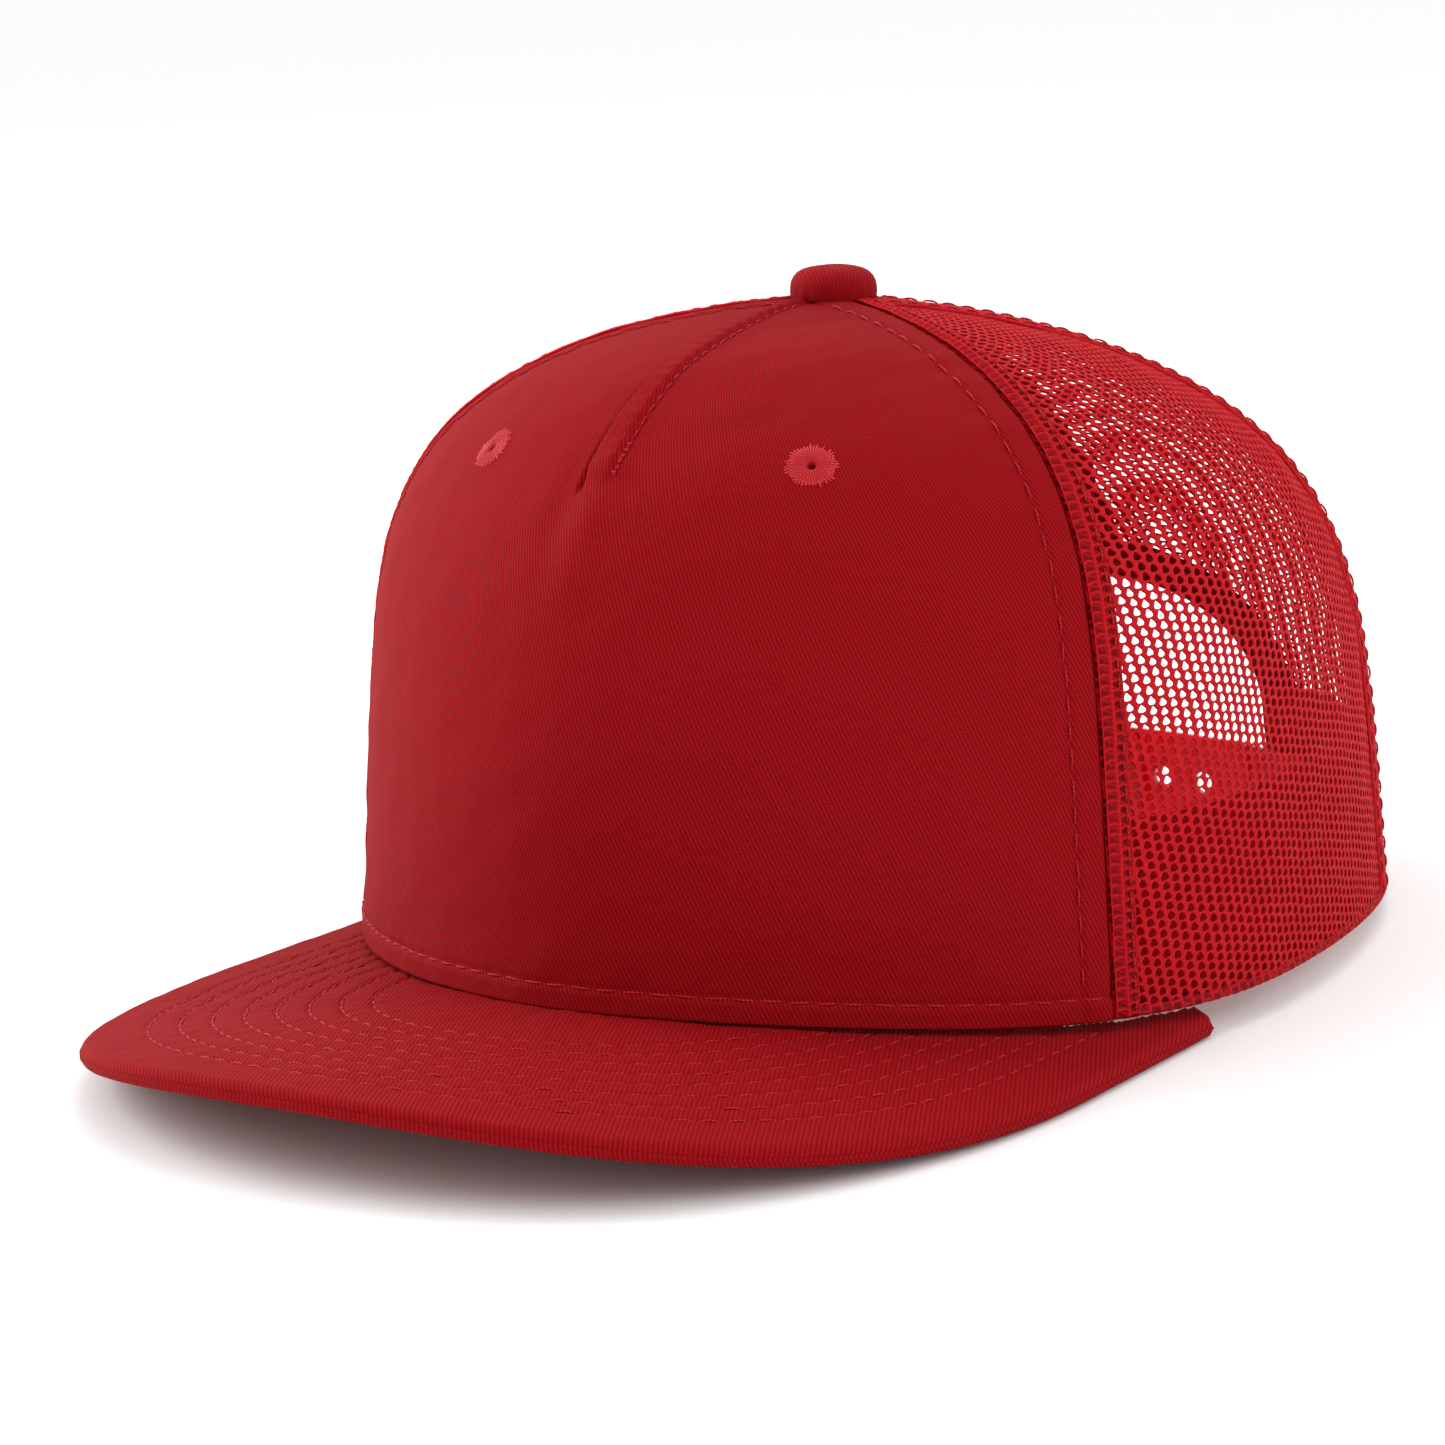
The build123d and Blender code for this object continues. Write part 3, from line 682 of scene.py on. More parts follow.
class CAP_OT_linings(bpy.types.Operator):
    """Stiff backing of the front panel and the tapes over the seams"""
    bl_idname = "cap.linings"
    bl_label = "Backing and tapes"

    def execute(self, context):
        settings = millimetres(context.scene.cap_stitches)
        angles = even(-FRONT_SEAM + 2, FRONT_SEAM - 2, 1.0)
        lengths = even(1.2, float(FRONT_MERIDIAN[1][-1]) - 2, 1.3)
        build = Build()
        lining(build, angles, rises_along(0.0, lengths), 1.0, 1.6,
               (np.radians(angles) * FRONT_REACH)[None, :], lengths[:, None], keep=clear_of_eyelets)
        backing = build.piece("front_buckram_cloth", MATERIALS["buckram"], replaces=["front_buckram"],
                              slot="buckram", weld=True)

        thread = Build()
        runs = (("left_front_seam_tape", FRONT_SEAM, 1.2, "left_side_mesh_net"),
                ("right_front_seam_tape", -FRONT_SEAM, 1.2, "right_side_mesh_net"),
                ("left_back_seam_tape", SIDE_SEAM, 1.2, "left_back_mesh_net"),
                ("right_back_seam_tape", -SIDE_SEAM, 1.2, "right_back_mesh_net"),
                ("centre_back_seam_tape", BACK_SEAM, 58.0, "left_back_mesh_net"))
        for number, (name, seam, start, net) in enumerate(runs):
            stop = float(meridian(seam)[1][-1]) - 9
            lengths = even(start, stop, 0.9)
            rises = rises_along(seam, lengths)
            across = np.array([-6, -5.8, -5.2, -4.7, -4.2, -2, 0, 2, 4.2, 4.7, 5.2, 5.8, 6])
            rate = across_rate(seam, rises)
            angle = seam + across[None, :] / rate[:, None]
            rise = np.broadcast_to(rises[:, None], angle.shape)
            dip = 0.18 * groove(np.abs(across) - 4.7, 0.4) - 0.08 * groove(across, 2.0)
            edge = np.where(np.abs(across) > 5.9, 0.25, 0.0)
            ends = np.where((lengths < start + 0.1) | (lengths > stop - 0.1), 0.25, 0.0)[:, None]
            thick = np.where(np.maximum(edge[None, :], ends) > 0, 0.0, 0.25)
            uneven = 0.06 * ripple(across[None, :] * 3, lengths[:, None], 18.0, 40 + number)
            build = Build()
            inner = crown(angle, rise, 2.2 + uneven + thick - dip * (thick > 0))
            outer = crown(angle, rise, 2.2 + uneven - thick)
            build.grid(inner, across[None, :], lengths[:, None], flip=True)
            build.grid(outer, across[None, :], lengths[:, None])
            tape = build.piece(name + "_cloth", MATERIALS["tape"], replaces=[name], slot="tape", weld=True)
            for offset in (-4.7, 4.7):
                crown_stitches(thread, seam + offset / rate, rises, 2.4, settings, inward=True,
                               seed=50 + number)
        thread.piece("tape_stitching", MATERIALS["thread"], slot="thread")
        return {"FINISHED"}


# ---- net panels --------------------------------------------------------------------------

STRAND = 0.17
HEM_STOP = 159.0  # angle at which the hem runs in under the binding of the back opening
# The hole of one cell, in millimetres from its middle: flat below and narrowing to a point above.
HOLE = np.array([(-0.60, -0.50), (-0.22, -0.60), (0.22, -0.60), (0.60, -0.50), (0.74, -0.12),
                 (0.42, 0.32), (0.12, 0.66), (-0.12, 0.66), (-0.42, 0.32), (-0.74, -0.12)])


def arch_gap(x, z):
    """How far a point lies outside the back opening, roughly in millimetres; inside it is negative."""
    above = np.maximum(z - ARCH_SPRING, 0)
    tall = ARCH_TOP - ARCH_SPRING
    reach = np.sqrt((x / ARCH_HALF_WIDTH) ** 2 + (above / tall) ** 2)
    return (reach - 1) * np.where(above > 0, 26.0, ARCH_HALF_WIDTH)


def net_panel(name, first, last, lean, side, net, seed):
    """A panel of real net: staggered cells, each a ring of strands round a hole, on both faces."""
    middle = (first + last) / 2
    rises, lengths = meridian(middle)
    rates = across_rate(middle, rises)
    fan = np.linspace(first - 25, last + 25, 500)
    rim = crown(fan, 0.0)
    along = np.append(0, np.cumsum(np.linalg.norm(np.diff(rim, axis=0), axis=1)))
    along -= np.interp(middle, fan, along)
    centre_v, slope = lengths[-1] / 2, math.radians(lean)
    columns = int(np.interp(last, fan, along) * 1.25 / net.column) + 2
    extra = int(columns * net.column * math.sin(slope) / net.row) + 2
    count = int(lengths[-1] / net.row) + 2 * extra

    def place(u, v, lift):
        """Points for net coordinates, with how far outside the panel each one falls."""
        u = u + 0.15 * ripple(u, v, 16.0, seed) + 0.04 * ripple(u, v, 5.0, seed + 1)
        v = v + 0.13 * ripple(u, v, 13.0, seed + 2) - extra * net.row
        turned_u = u * math.cos(slope) - (v - centre_v) * math.sin(slope)
        turned_v = centre_v + u * math.sin(slope) + (v - centre_v) * math.cos(slope)
        rate = np.interp(turned_v, lengths, rates) / rates[0]
        angle = np.interp(turned_u / rate, along, fan)
        beyond = np.maximum(np.maximum(first - angle, angle - last), -turned_v)
        angle = np.where(angle < first, first + (angle - first) * 0.01, angle)
        angle = np.where(angle > last, last + (angle - last) * 0.01, angle)
        turned_v = np.where(turned_v < 0.2, 0.2 + turned_v * 0.01, turned_v)
        rise = np.interp(turned_v, lengths, rises)
        depth = 0.4 - lift - 0.12 * ripple(u, v, 22.0, seed + 3)
        return crown(side * angle, rise, depth), beyond, turned_v

    # Upright strands: points half a row apart, pushed away from the nearer hole.
    i, k = np.meshgrid(np.arange(-columns, columns + 2), np.arange(-1, 2 * count + 4), indexing="ij")
    push = np.where((k - i) % 2 == 0, -0.13, 0.13)
    upright_u, upright_v = (i - 0.5) * net.column + push, k * net.row / 2
    # Level strands: two points under each cell.
    ci, cj = np.meshgrid(np.arange(-columns, columns + 1), np.arange(0, count + 2), indexing="ij")
    level_v = (cj + 0.5 * (ci % 2) - 0.5) * net.row + 0.06
    # Each block's last number is its crest: painted light on the raised strands, less where they sit lower.
    blocks = [(upright_u, upright_v, STRAND * 0.7, 0.6)]
    blocks += [((ci + shift) * net.column, level_v, STRAND * 0.8, 0.8) for shift in (-0.16, 0.16)]
    flat = [(np.ravel(u), np.ravel(v), lift, crest) for u, v, lift, crest in blocks]
    placed = [[place(u, v, sign * lift) for u, v, lift, _ in flat] for sign in (1, -1)]
    points = np.concatenate([p[0] for face in placed for p in face])
    beyond = np.concatenate([p[1] for p in placed[0]])
    cloth = np.concatenate([np.stack([u, v], -1) for u, v, _, _ in flat] * 2)
    crest = np.concatenate([np.full(len(u), c) for u, _, _, c in flat] * 2)
    face_size = len(beyond)
    tall = upright_u.shape[1]
    first_level = upright_u.size
    second_level = first_level + ci.size

    cell_i, cell_j = ci[:, :-1].ravel(), cj[:, :-1].ravel()
    line = (cell_i + columns) * tall + 2 * cell_j + cell_i % 2 + 1
    bar = (cell_i + columns) * ci.shape[1] + cell_j
    outline = np.stack([line - 1, first_level + bar, second_level + bar, line + tall - 1, line + tall,
                        line + tall + 1, second_level + bar + 1, first_level + bar + 1, line + 1, line], -1)
    hole_u, hole_v = cell_i * net.column, (cell_j + 0.5 * (cell_i % 2)) * net.row
    centre, _, height = place(hole_u, hole_v, 0.0)
    keep = beyond[outline].min(1) < 0
    keep &= height < lengths[-1] - net.row * 0.3
    keep &= arch_gap(centre[:, 0], centre[:, 2]) > np.where(centre[:, 1] > 60, 1.5, -1e9)
    outline, hole_u, hole_v = outline[keep], hole_u[keep], hole_v[keep]
    cells, sides = outline.shape
    draw = np.random.default_rng(seed + 7)
    scale = draw.uniform(0.93, 1.07, (cells, 1, 2)) * np.array([net.column / 2.27, net.row / 1.66])
    hole = HOLE[None] * scale + draw.uniform(-0.035, 0.035, (cells, sides, 2))
    hole_u, hole_v = hole_u[:, None] + hole[..., 0], hole_v[:, None] + hole[..., 1]
    mid_u = hole_u * 0.55 + cloth[outline][..., 0] * 0.45
    mid_v = hole_v * 0.55 + cloth[outline][..., 1] * 0.45
    # Rings round each hole: painted shade at the hole's edge (crest 0.3), painted light on the strands' tops between
    # (0.95).
    rings = ((hole_u, hole_v, 0.0, 0.3), (mid_u, mid_v, STRAND, 0.95), (mid_u, mid_v, -STRAND, 0.95))
    loop = np.arange(cells * sides).reshape(cells, sides)
    ring_ids, front_ids, back_ids = (2 * face_size + loop + number * cells * sides for number in range(3))
    points = np.concatenate([points] + [place(u, v, lift)[0].reshape(-1, 3) for u, v, lift, _ in rings])
    cloth = np.concatenate([cloth] + [np.stack([u, v], -1).reshape(-1, 2) for u, v, _, _ in rings])
    crest = np.concatenate([crest] + [np.full(cells * sides, c) for _, _, _, c in rings])
    faces = []
    for edge, inner_edge, turn in ((outline, front_ids, 1), (outline + face_size, back_ids, -1)):
        for outer, inner in ((edge, inner_edge), (inner_edge, ring_ids)):
            quads = np.stack([outer, np.roll(outer, -1, 1), np.roll(inner, -1, 1), inner], -1).reshape(-1, 4)
            faces.append(quads[:, ::turn * side])
    ahead, behind = outline.ravel(), np.roll(outline, -1, 1).ravel()
    rim_edges = ~np.isin(ahead * face_size + behind, behind * face_size + ahead)
    ahead, behind = ahead[rim_edges], behind[rim_edges]
    walls = np.stack([behind, ahead, ahead + face_size, behind + face_size], -1)
    faces.append(walls[:, ::side])
    build = Build()
    build.add(points, np.concatenate(faces), cloth, crest)
    return build.piece(name + "_net", MATERIALS["net"], replaces=[name], slot="mesh")


def net_pattern(across, along, net, seed):
    """Height of doubled net over its ground: thin arched level strands between thicker upright ones."""
    across = across + 0.10 * ripple(across, along, 7.0, seed + 1)
    along = along + 0.22 * ripple(across, along, 8.0, seed)
    column = np.floor(across / net.column)
    inside = across / net.column - column - 0.5
    arch = along + net.row * (0.5 * (column % 2) + 0.9 * inside**2)
    level = groove(arch - np.round(arch / net.row) * net.row, 0.22)
    under = along + net.row * (0.35 + 0.6 * inside)
    level = np.maximum(level, 0.55 * groove(under - np.round(under / net.row) * net.row, 0.2))
    upright = groove((0.5 - np.abs(inside)) * net.column, 0.34)
    return np.maximum(level, 0.95 * upright)


def seam_fold(name, thread, seam, toward, start, stop, height, net, settings, seed):
    """The doubled edge of a net panel beside a seam, with its row of stitching; painted shade lies between its strands
    and along its edges, less of it on a flat one.
    """
    lengths = even(start, stop, 0.21)
    rises = rises_along(seam, lengths)
    rate = np.maximum(across_rate(seam, rises), 0.12)
    across = np.concatenate([[0.0, 0.12], even(0.3, net.fold - 0.2, 0.2), [net.fold - 0.08, net.fold]])
    angle = seam + toward * across[None, :] / rate[:, None]
    rise = np.broadcast_to(rises[:, None], angle.shape)
    distance = np.broadcast_to(across[None, :], angle.shape)
    place = np.broadcast_to(lengths[:, None], angle.shape)
    pattern = net_pattern(distance, place, net, seed)
    body = ease(distance, -0.5, 0.2) * (1 - ease(distance, net.fold - 0.25, net.fold + 0.1))
    lift = -0.3 + body * height * (1 + pattern)
    lift += 0.1 * ripple(distance * 0, place, 9.0, seed + 4) * body
    build = Build()
    # Crest paints shade on the ground between strands and at the fold's edges; the strands stay light.
    build.grid(crown(angle, rise, -lift), distance, place, 0.7 - height + (0.3 + height) * pattern * body,
               flip=toward < 0)
    build.piece(name, MATERIALS["net"], slot="mesh")
    line = seam + toward * (net.fold - 0.9) / rate
    crown_stitches(thread, line, rises, -height, settings, pitch=3.4, seed=seed)


def rim_fold(build, first, last, side, net, seed):
    """The folded lower edge of a net panel, rolled under to the sweatband."""
    angles = even(first, last, 0.14)
    span = CROWN_TOP - rim_height(angles)
    along = np.append(0, np.cumsum(np.linalg.norm(np.diff(crown(angles, 0.0), axis=0), axis=1)))
    profile = np.array([(3.0, 1.8), (2.7, 0.2), (2.1, -0.25), (1.3, -0.38), (0.6, -0.25), (0.1, 0.05),
                        (-0.12, 0.5), (-0.1, 0.9), (0.1, 1.3), (0.35, 1.5)])
    place, around = np.meshgrid(along, np.append(0, np.cumsum(np.hypot(*np.diff(profile, axis=0).T))))
    pattern = net_pattern(place, around, net, seed)
    points = []
    for (depth, up), strand in zip(profile, pattern):
        ring = crown(side * angles, np.maximum(up, 0) / span, depth + 0.12 - 0.3 * strand)
        ring[:, 2] += min(up, 0.0)
        points.append(ring)
    # Crest paints shade on the ground between the strands.
    build.grid(np.array(points), place, around, 0.05 + 0.85 * pattern, flip=side < 0)


class CAP_OT_net_panels(bpy.types.Operator):
    """Four net panels, with their doubled edges and stitching"""
    bl_idname = "cap.net_panels"
    bl_label = "Net panels"

    def execute(self, context):
        net, settings = millimetres(context.scene.cap_net), millimetres(context.scene.cap_stitches)
        hems, thread = Build(), Build()
        # The holes are a third of each cut.
        for side, hand in ((1, "left"), (-1, "right")):
            for part, first, last, lean in (("side", FRONT_SEAM, SIDE_SEAM, 8.0), ("back", SIDE_SEAM, BACK_SEAM, 4.0)):
                seed = 100 + 20 * (side + 1) + (7 if part == "back" else 0)
                panel = net_panel(f"{hand}_{part}_mesh", first, last, lean, side, net, seed)
            for part, seam, toward, start, height in (
                    ("front", FRONT_SEAM, 1, 0.4, 0.55), ("side_front", SIDE_SEAM, -1, 0.4, 0.3),
                    ("side_back", SIDE_SEAM, 1, 0.4, 0.3), ("centre_back", BACK_SEAM, -1, 56.0, 0.3)):
                stop = float(meridian(seam)[1][-1]) - 0.5
                seam_fold(f"{hand}_{part}_fold", thread, side * seam, side * toward, start, stop, height, net,
                          settings, int(200 + seam + toward))
            rim_fold(hems, FRONT_SEAM, HEM_STOP, side, net, 300 + side)
        hems.piece("net_hem", MATERIALS["net"], slot="mesh")
        thread.piece("net_stitching", MATERIALS["thread"], slot="thread")
        return {"FINISHED"}


# ---- binding of the back opening ---------------------------------------------------------


def back_point(x, z, depth):
    """Points on the back of the crown that stand at given x and z."""
    x, z, depth = np.broadcast_arrays(np.asarray(x, float), z, depth)
    angle = 180 - np.degrees(np.arctan2(x, 105.0))
    for _ in range(25):
        rise = np.clip((z - rim_height(angle)) / (CROWN_TOP - depth - rim_height(angle)), 0, 0.98)
        miss = crown(angle, rise, depth)[..., 0] - x
        slope = (crown(angle + 0.5, rise, depth)[..., 0] - crown(angle - 0.5, rise, depth)[..., 0])
        angle = angle - np.clip(miss / slope, -8, 8)
    return crown(angle, rise, depth), angle, rise


def arch_line(grow, count=160):
    """Points along the opening from its lower left corner over the top to its lower right."""
    wide, tall = ARCH_HALF_WIDTH + grow, ARCH_TOP - ARCH_SPRING + grow
    turn = np.linspace(0, math.pi, count)
    x, z = wide * np.cos(turn), ARCH_SPRING + tall * np.sin(turn)
    low = np.linspace(0.6, ARCH_SPRING - 0.5, 30)
    return (np.concatenate([np.full(30, wide), x, np.full(30, -wide)]),
            np.concatenate([low, z, low[::-1]]))


class CAP_OT_arch_binding(bpy.types.Operator):
    """Tape folded over the edge of the back opening"""
    bl_idname = "cap.arch_binding"
    bl_label = "Back binding"

    def execute(self, context):
        settings = millimetres(context.scene.cap_stitches)
        profile = [(8.0, 0.15), (7.7, -0.35), (7.0, -0.6), (6.2, -0.35), (5.4, -0.62), (4.0, -0.7), (2.6, -0.68),
                   (1.6, -0.4), (0.7, -0.55), (0.0, -0.2), (-0.35, 0.5), (0.0, 1.35), (0.7, 1.75), (1.8, 1.6),
                   (3.0, 1.85), (5.2, 1.85), (6.2, 1.6), (7.2, 1.85), (7.8, 1.6), (8.0, 1.1)]
        rows, u, v = [], [], []
        across = 0.0
        for number, (grow, depth) in enumerate(profile):
            x, z = arch_line(grow)
            along = np.append(0, np.cumsum(np.hypot(np.diff(x), np.diff(z))))
            uneven = 0.10 * ripple(along, along * 0 + grow, 9.0, 61)
            point, _, _ = back_point(x, z, depth + uneven)
            point[:, 2] = np.maximum(point[:, 2], 0.15)
            rows.append(point)
            if number:
                across += math.dist(profile[number], profile[number - 1])
            u.append(np.full(len(x), across))
            v.append(along)
        build = Build()
        build.grid(np.array(rows), np.array(u), np.array(v), flip=True)
        binding = build.piece("arch_binding_cloth", MATERIALS["tape"], replaces=["arch_binding"], slot="tape",
                              weld=True)
        thread = Build()
        for grow, depth, inward in ((6.2, -0.4, False), (1.6, -0.45, False), (6.2, 1.65, True), (1.8, 1.65, True)):
            x, z = arch_line(grow, 80)
            path, angle, rise = back_point(x, z, depth)
            outward = outward_at(angle, rise, depth)
            keep = path[:, 2] > 0.8
            sew(thread, path[keep], -outward[keep] if inward else outward[keep], 3.6, settings.thread_radius,
                seed=70 + int(grow))
        thread.piece("arch_stitching", MATERIALS["thread"], slot="thread")
        return {"FINISHED"}


# ---- sweatband ---------------------------------------------------------------------------


class CAP_OT_sweatband(bpy.types.Operator):
    """Cotton band sewn round the inside of the rim"""
    bl_idname = "cap.sweatband"
    bl_label = "Sweatband"

    def execute(self, context):
        settings = millimetres(context.scene.cap_stitches)
        angles = even(-158, 158, 0.8)
        span = CROWN_TOP - rim_height(angles)
        along = np.append(0, np.cumsum(np.linalg.norm(np.diff(crown(angles, 0.0, 4.0), axis=0), axis=1)))
        heights = [0.7, 1.2, 2.2, 3.4, 4.6, 6, 9, 13, 17, 21, 24, 26.5, 28.3, 29.2, 30.2, 31.2, 31.8]
        rows, v = [], []
        ends = ease(158.0 - np.abs(angles), -0.5, 1.5)
        for face, sign in ((3.05, -1), (4.35, 1)):
            order = heights if sign < 0 else heights[::-1]
            for height in order:
                soft = 0.30 * math.sin(math.pi * min(max((height - 4.6) / 24.6, 0), 1)) if sign > 0 else 0.0
                dip = 0.35 * math.exp(-((height - 3.4) / 0.7) ** 2) + 0.3 * math.exp(-((height - 29.2) / 0.7) ** 2)
                edge = 0.4 if height < 1.0 or height > 31.5 else 0.0
                uneven = 0.22 * ripple(along, along * 0 + height * 1.3, 26.0, 81) * soft / 0.3 if sign > 0 else 0
                middle = 3.7
                depth = middle + (face - middle - sign * edge + sign * (soft - dip * (sign > 0)) + uneven) * ends
                rows.append(crown(angles, height / span, depth))
                v.append(height if sign < 0 else 64 - height)
        rows.append(rows[0])
        v.append(64.0)
        build = Build()
        build.grid(np.array(rows), along[None, :], np.array(v)[:, None])
        band = build.piece("sweatband_cloth", MATERIALS["band"], replaces=["sweatband"], slot="sweatband",
                           weld=True)
        thread = Build()
        for height, depth in ((3.4, 4.1), (29.2, 4.15)):
            crown_stitches(thread, angles[3:-3], height / span[3:-3], depth, settings, inward=True, seed=90)
        thread.piece("sweatband_stitching", MATERIALS["thread"], slot="thread")
        return {"FINISHED"}


# ---- bill --------------------------------------------------------------------------------


def bill_height(x, y):
    """Top face of the bill."""
    share = (x / HALF_WIDTH) ** 2
    forward = -y - FRONT_REACH
    return RIM_FRONT - 0.1 - BILL_ARCH * share + forward * (BILL_RISE - BILL_TWIST * share)


def bill_outline(inset, steps):
    """Plan points of the outline drawn in by an inset: a side, the round front and the other side."""
    power = 2 / BILL_ROUNDNESS
    wide, long = BILL_HALF_WIDTH - inset, FRONT_REACH + BILL_LENGTH + BILL_WIDEST - inset
    turn = np.linspace(0, math.pi, steps)
    turn = turn / 2 + math.pi / 4 * (1 - np.cos(turn))  # closer together at the corners
    x = wide * np.sign(np.cos(turn)) * np.abs(np.cos(turn)) ** power
    y = BILL_WIDEST - long * np.sin(turn) ** power
    side = np.linspace(BILL_TAIL + BILL_TAIL_SLOPE * min(inset, 6.0), BILL_WIDEST, 40)[:-1]
    return (np.concatenate([np.full(39, wide), x, np.full(39, -wide)]),
            np.concatenate([side, y, side[::-1]]))


def crown_reach(x, y):
    """Distance from the crown's axis to its rim, in the direction of a plan point."""
    angles = np.linspace(-180, 180, 1441)
    rim = crown(angles, 0.0)
    return np.interp(np.arctan2(x, -y), np.unwrap(np.arctan2(rim[:, 0], -rim[:, 1])), np.hypot(rim[:, 0], rim[:, 1]))


def bill_relief(inset, along, bill, seed):
    """Height of the bill's cloth over its board: stitched rows and slight puckers."""
    lift = 0
    for number in range(bill.rows):
        row = bill.first_row + number * bill.row_gap
        lift = lift - 0.26 * groove(inset - row, 0.55)
        lift = lift + 0.05 * np.sin(along * 2 * math.pi / 4.3 + number) * groove(inset - row, 1.3)
    lift = lift + 0.06 * ripple(inset, along, 11.0, seed)
    lift = lift + 0.10 * ripple(inset, along, 45.0, seed + 1) * ease(inset, 2, 8)
    return lift


class CAP_OT_bill(bpy.types.Operator):
    """Bill: two twill covers over the stiff board, with rows of stitching along its outline"""
    bl_idname = "cap.bill"
    bl_label = "Bill"

    def execute(self, context):
        bill, settings = millimetres(context.scene.cap_bill), millimetres(context.scene.cap_stitches)
        radius = BILL_THICKNESS / 2
        last_row = bill.first_row + bill.row_gap * (bill.rows - 1)
        rounding = radius * (1 - np.cos(np.linspace(0, math.pi / 2, 9)))
        insets = np.concatenate([rounding, spaced((radius + 0.4, 9.0, 0.8), (9.0, last_row + 2, 0.36),
                                                  (last_row + 2, 83.0, 1.3))])
        steps = 330
        columns = [bill_outline(inset, steps) for inset in insets]
        x = np.array([c[0] for c in columns])
        y = np.array([c[1] for c in columns])
        clear = np.hypot(x, y) - (crown_reach(x, y) - BILL_TUCK)
        along = np.append(0, np.cumsum(np.hypot(np.diff(x[0]), np.diff(y[0]))))[None, :]
        inset = insets[:, None] + 0 * along
        curve = np.sqrt(np.maximum(radius**2 - np.maximum(radius - inset, 0) ** 2, 0))
        middle = bill_height(x, y) - radius
        bend = np.arccos(np.clip(1 - insets / radius, 0, 1))
        unrolled = [bill_outline(radius - radius * (math.pi / 2 - b) if inset < radius else inset, steps)
                    for b, inset in zip(bend, insets)]
        cloth = np.stack([np.array([c[0] for c in unrolled]), np.array([c[1] for c in unrolled])], -1)
        for face, sign, seed in (("top", 1, 400), ("under", -1, 410)):
            relief = bill_relief(inset, along, bill, seed)
            z = middle + sign * (curve + relief * ease(inset, 0, radius))
            z = z - sign * 0.35 * groove(inset, 0.25)
            points = np.stack([x, y, z], -1)
            # Each tail's end is closed by the two covers, which turn in to meet halfway down the board.
            ends = [np.stack([x[:, k], y[:, k] + 0.8, middle[:, k]], -1)[:, None] for k in (0, -1)]
            points = np.concatenate([ends[0], points, ends[1]], axis=1)
            flat = np.concatenate([cloth[:, :1] + (0, radius), cloth, cloth[:, -1:] + (0, radius)], axis=1)
            faces = grid_faces(*points.shape[:2])
            outside = np.pad(clear, ((0, 0), (1, 1)), "edge").ravel()[faces].max(1) > 0
            faces = faces[outside]
            build = Build()
            build.add(points, faces if sign < 0 else faces[:, ::-1], flat)
            cover = build.piece(f"bill_{face}_cloth", MATERIALS["twill"], replaces=[f"bill_{face}_cover"],
                                slot="twill")
            thread = Build()
            for number in range(bill.rows):
                row = bill.first_row + number * bill.row_gap
                px, py = bill_outline(row, 420)
                open_to_view = np.hypot(px, py) > crown_reach(px, py) - 1.0
                px, py = px[open_to_view], py[open_to_view]
                pz = bill_height(px, py) - radius + sign * (radius - 0.30)
                up = np.tile([0.0, 0.0, float(sign)], (len(px), 1))
                sew(thread, np.stack([px, py, pz], -1), up, settings.stitch_length, settings.thread_radius,
                    seed=420 + number)
            thread.piece(f"bill_{face}_stitching", MATERIALS["thread"], slot="thread")
        dress("bill_board", MATERIALS["board"])
        return {"FINISHED"}


def dress(name, material):
    """Give a CAD node its finish."""
    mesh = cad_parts[name].data
    mesh.materials.clear()
    mesh.materials.append(material)


# ---- button and eyelets ------------------------------------------------------------------


class CAP_OT_button(bpy.types.Operator):
    """Covered button on top of the crown"""
    bl_idname = "cap.button"
    bl_label = "Button"

    def execute(self, context):
        turn = np.linspace(0, 2 * math.pi, 120, endpoint=False)
        profile = np.array([(6.7, -0.2), (6.9, -0.75), (7.15, -0.8), (7.3, -0.3), (7.4, 0.6), (7.4, 1.6), (7.25, 2.4),
                            (6.85, 3.2), (6.2, 3.9), (5.3, 4.4), (4.2, 4.75), (3.0, 4.98), (1.8, 5.1), (0.7, 5.17),
                            (0.02, 5.2)])
        radius, height = profile[:, :1], profile[:, 1:]
        gather = 0.10 * np.sin(turn[None, :] * 17 + np.sin(turn[None, :] * 3)) * np.exp(-((height - 0.6) / 1.3) ** 2)
        dent = 0.06 * ripple(radius * np.cos(turn), radius * np.sin(turn), 7.0, 501)
        reach = radius + gather * (radius > 3) + dent * (radius > 1)
        z = BUTTON_BASE - 0.1 + height + 0.05 * ripple(radius * np.cos(turn), radius * np.sin(turn), 6.0, 502) * (height > 1)
        points = np.stack([reach * np.cos(turn), reach * np.sin(turn), z + 0 * reach], -1)
        build = Build()
        arc = np.append(0, np.cumsum(np.hypot(*np.diff(profile, axis=0).T)))[:, None]
        flat = arc[-1] - arc
        build.grid(points, flat * np.cos(turn), flat * np.sin(turn), close=True)
        build.piece("button_cloth", MATERIALS["button_twill"], replaces=["button_cover"], slot="twill")
        dress("button_core", MATERIALS["steel"])
        dress("button_washer", MATERIALS["steel"])
        return {"FINISHED"}


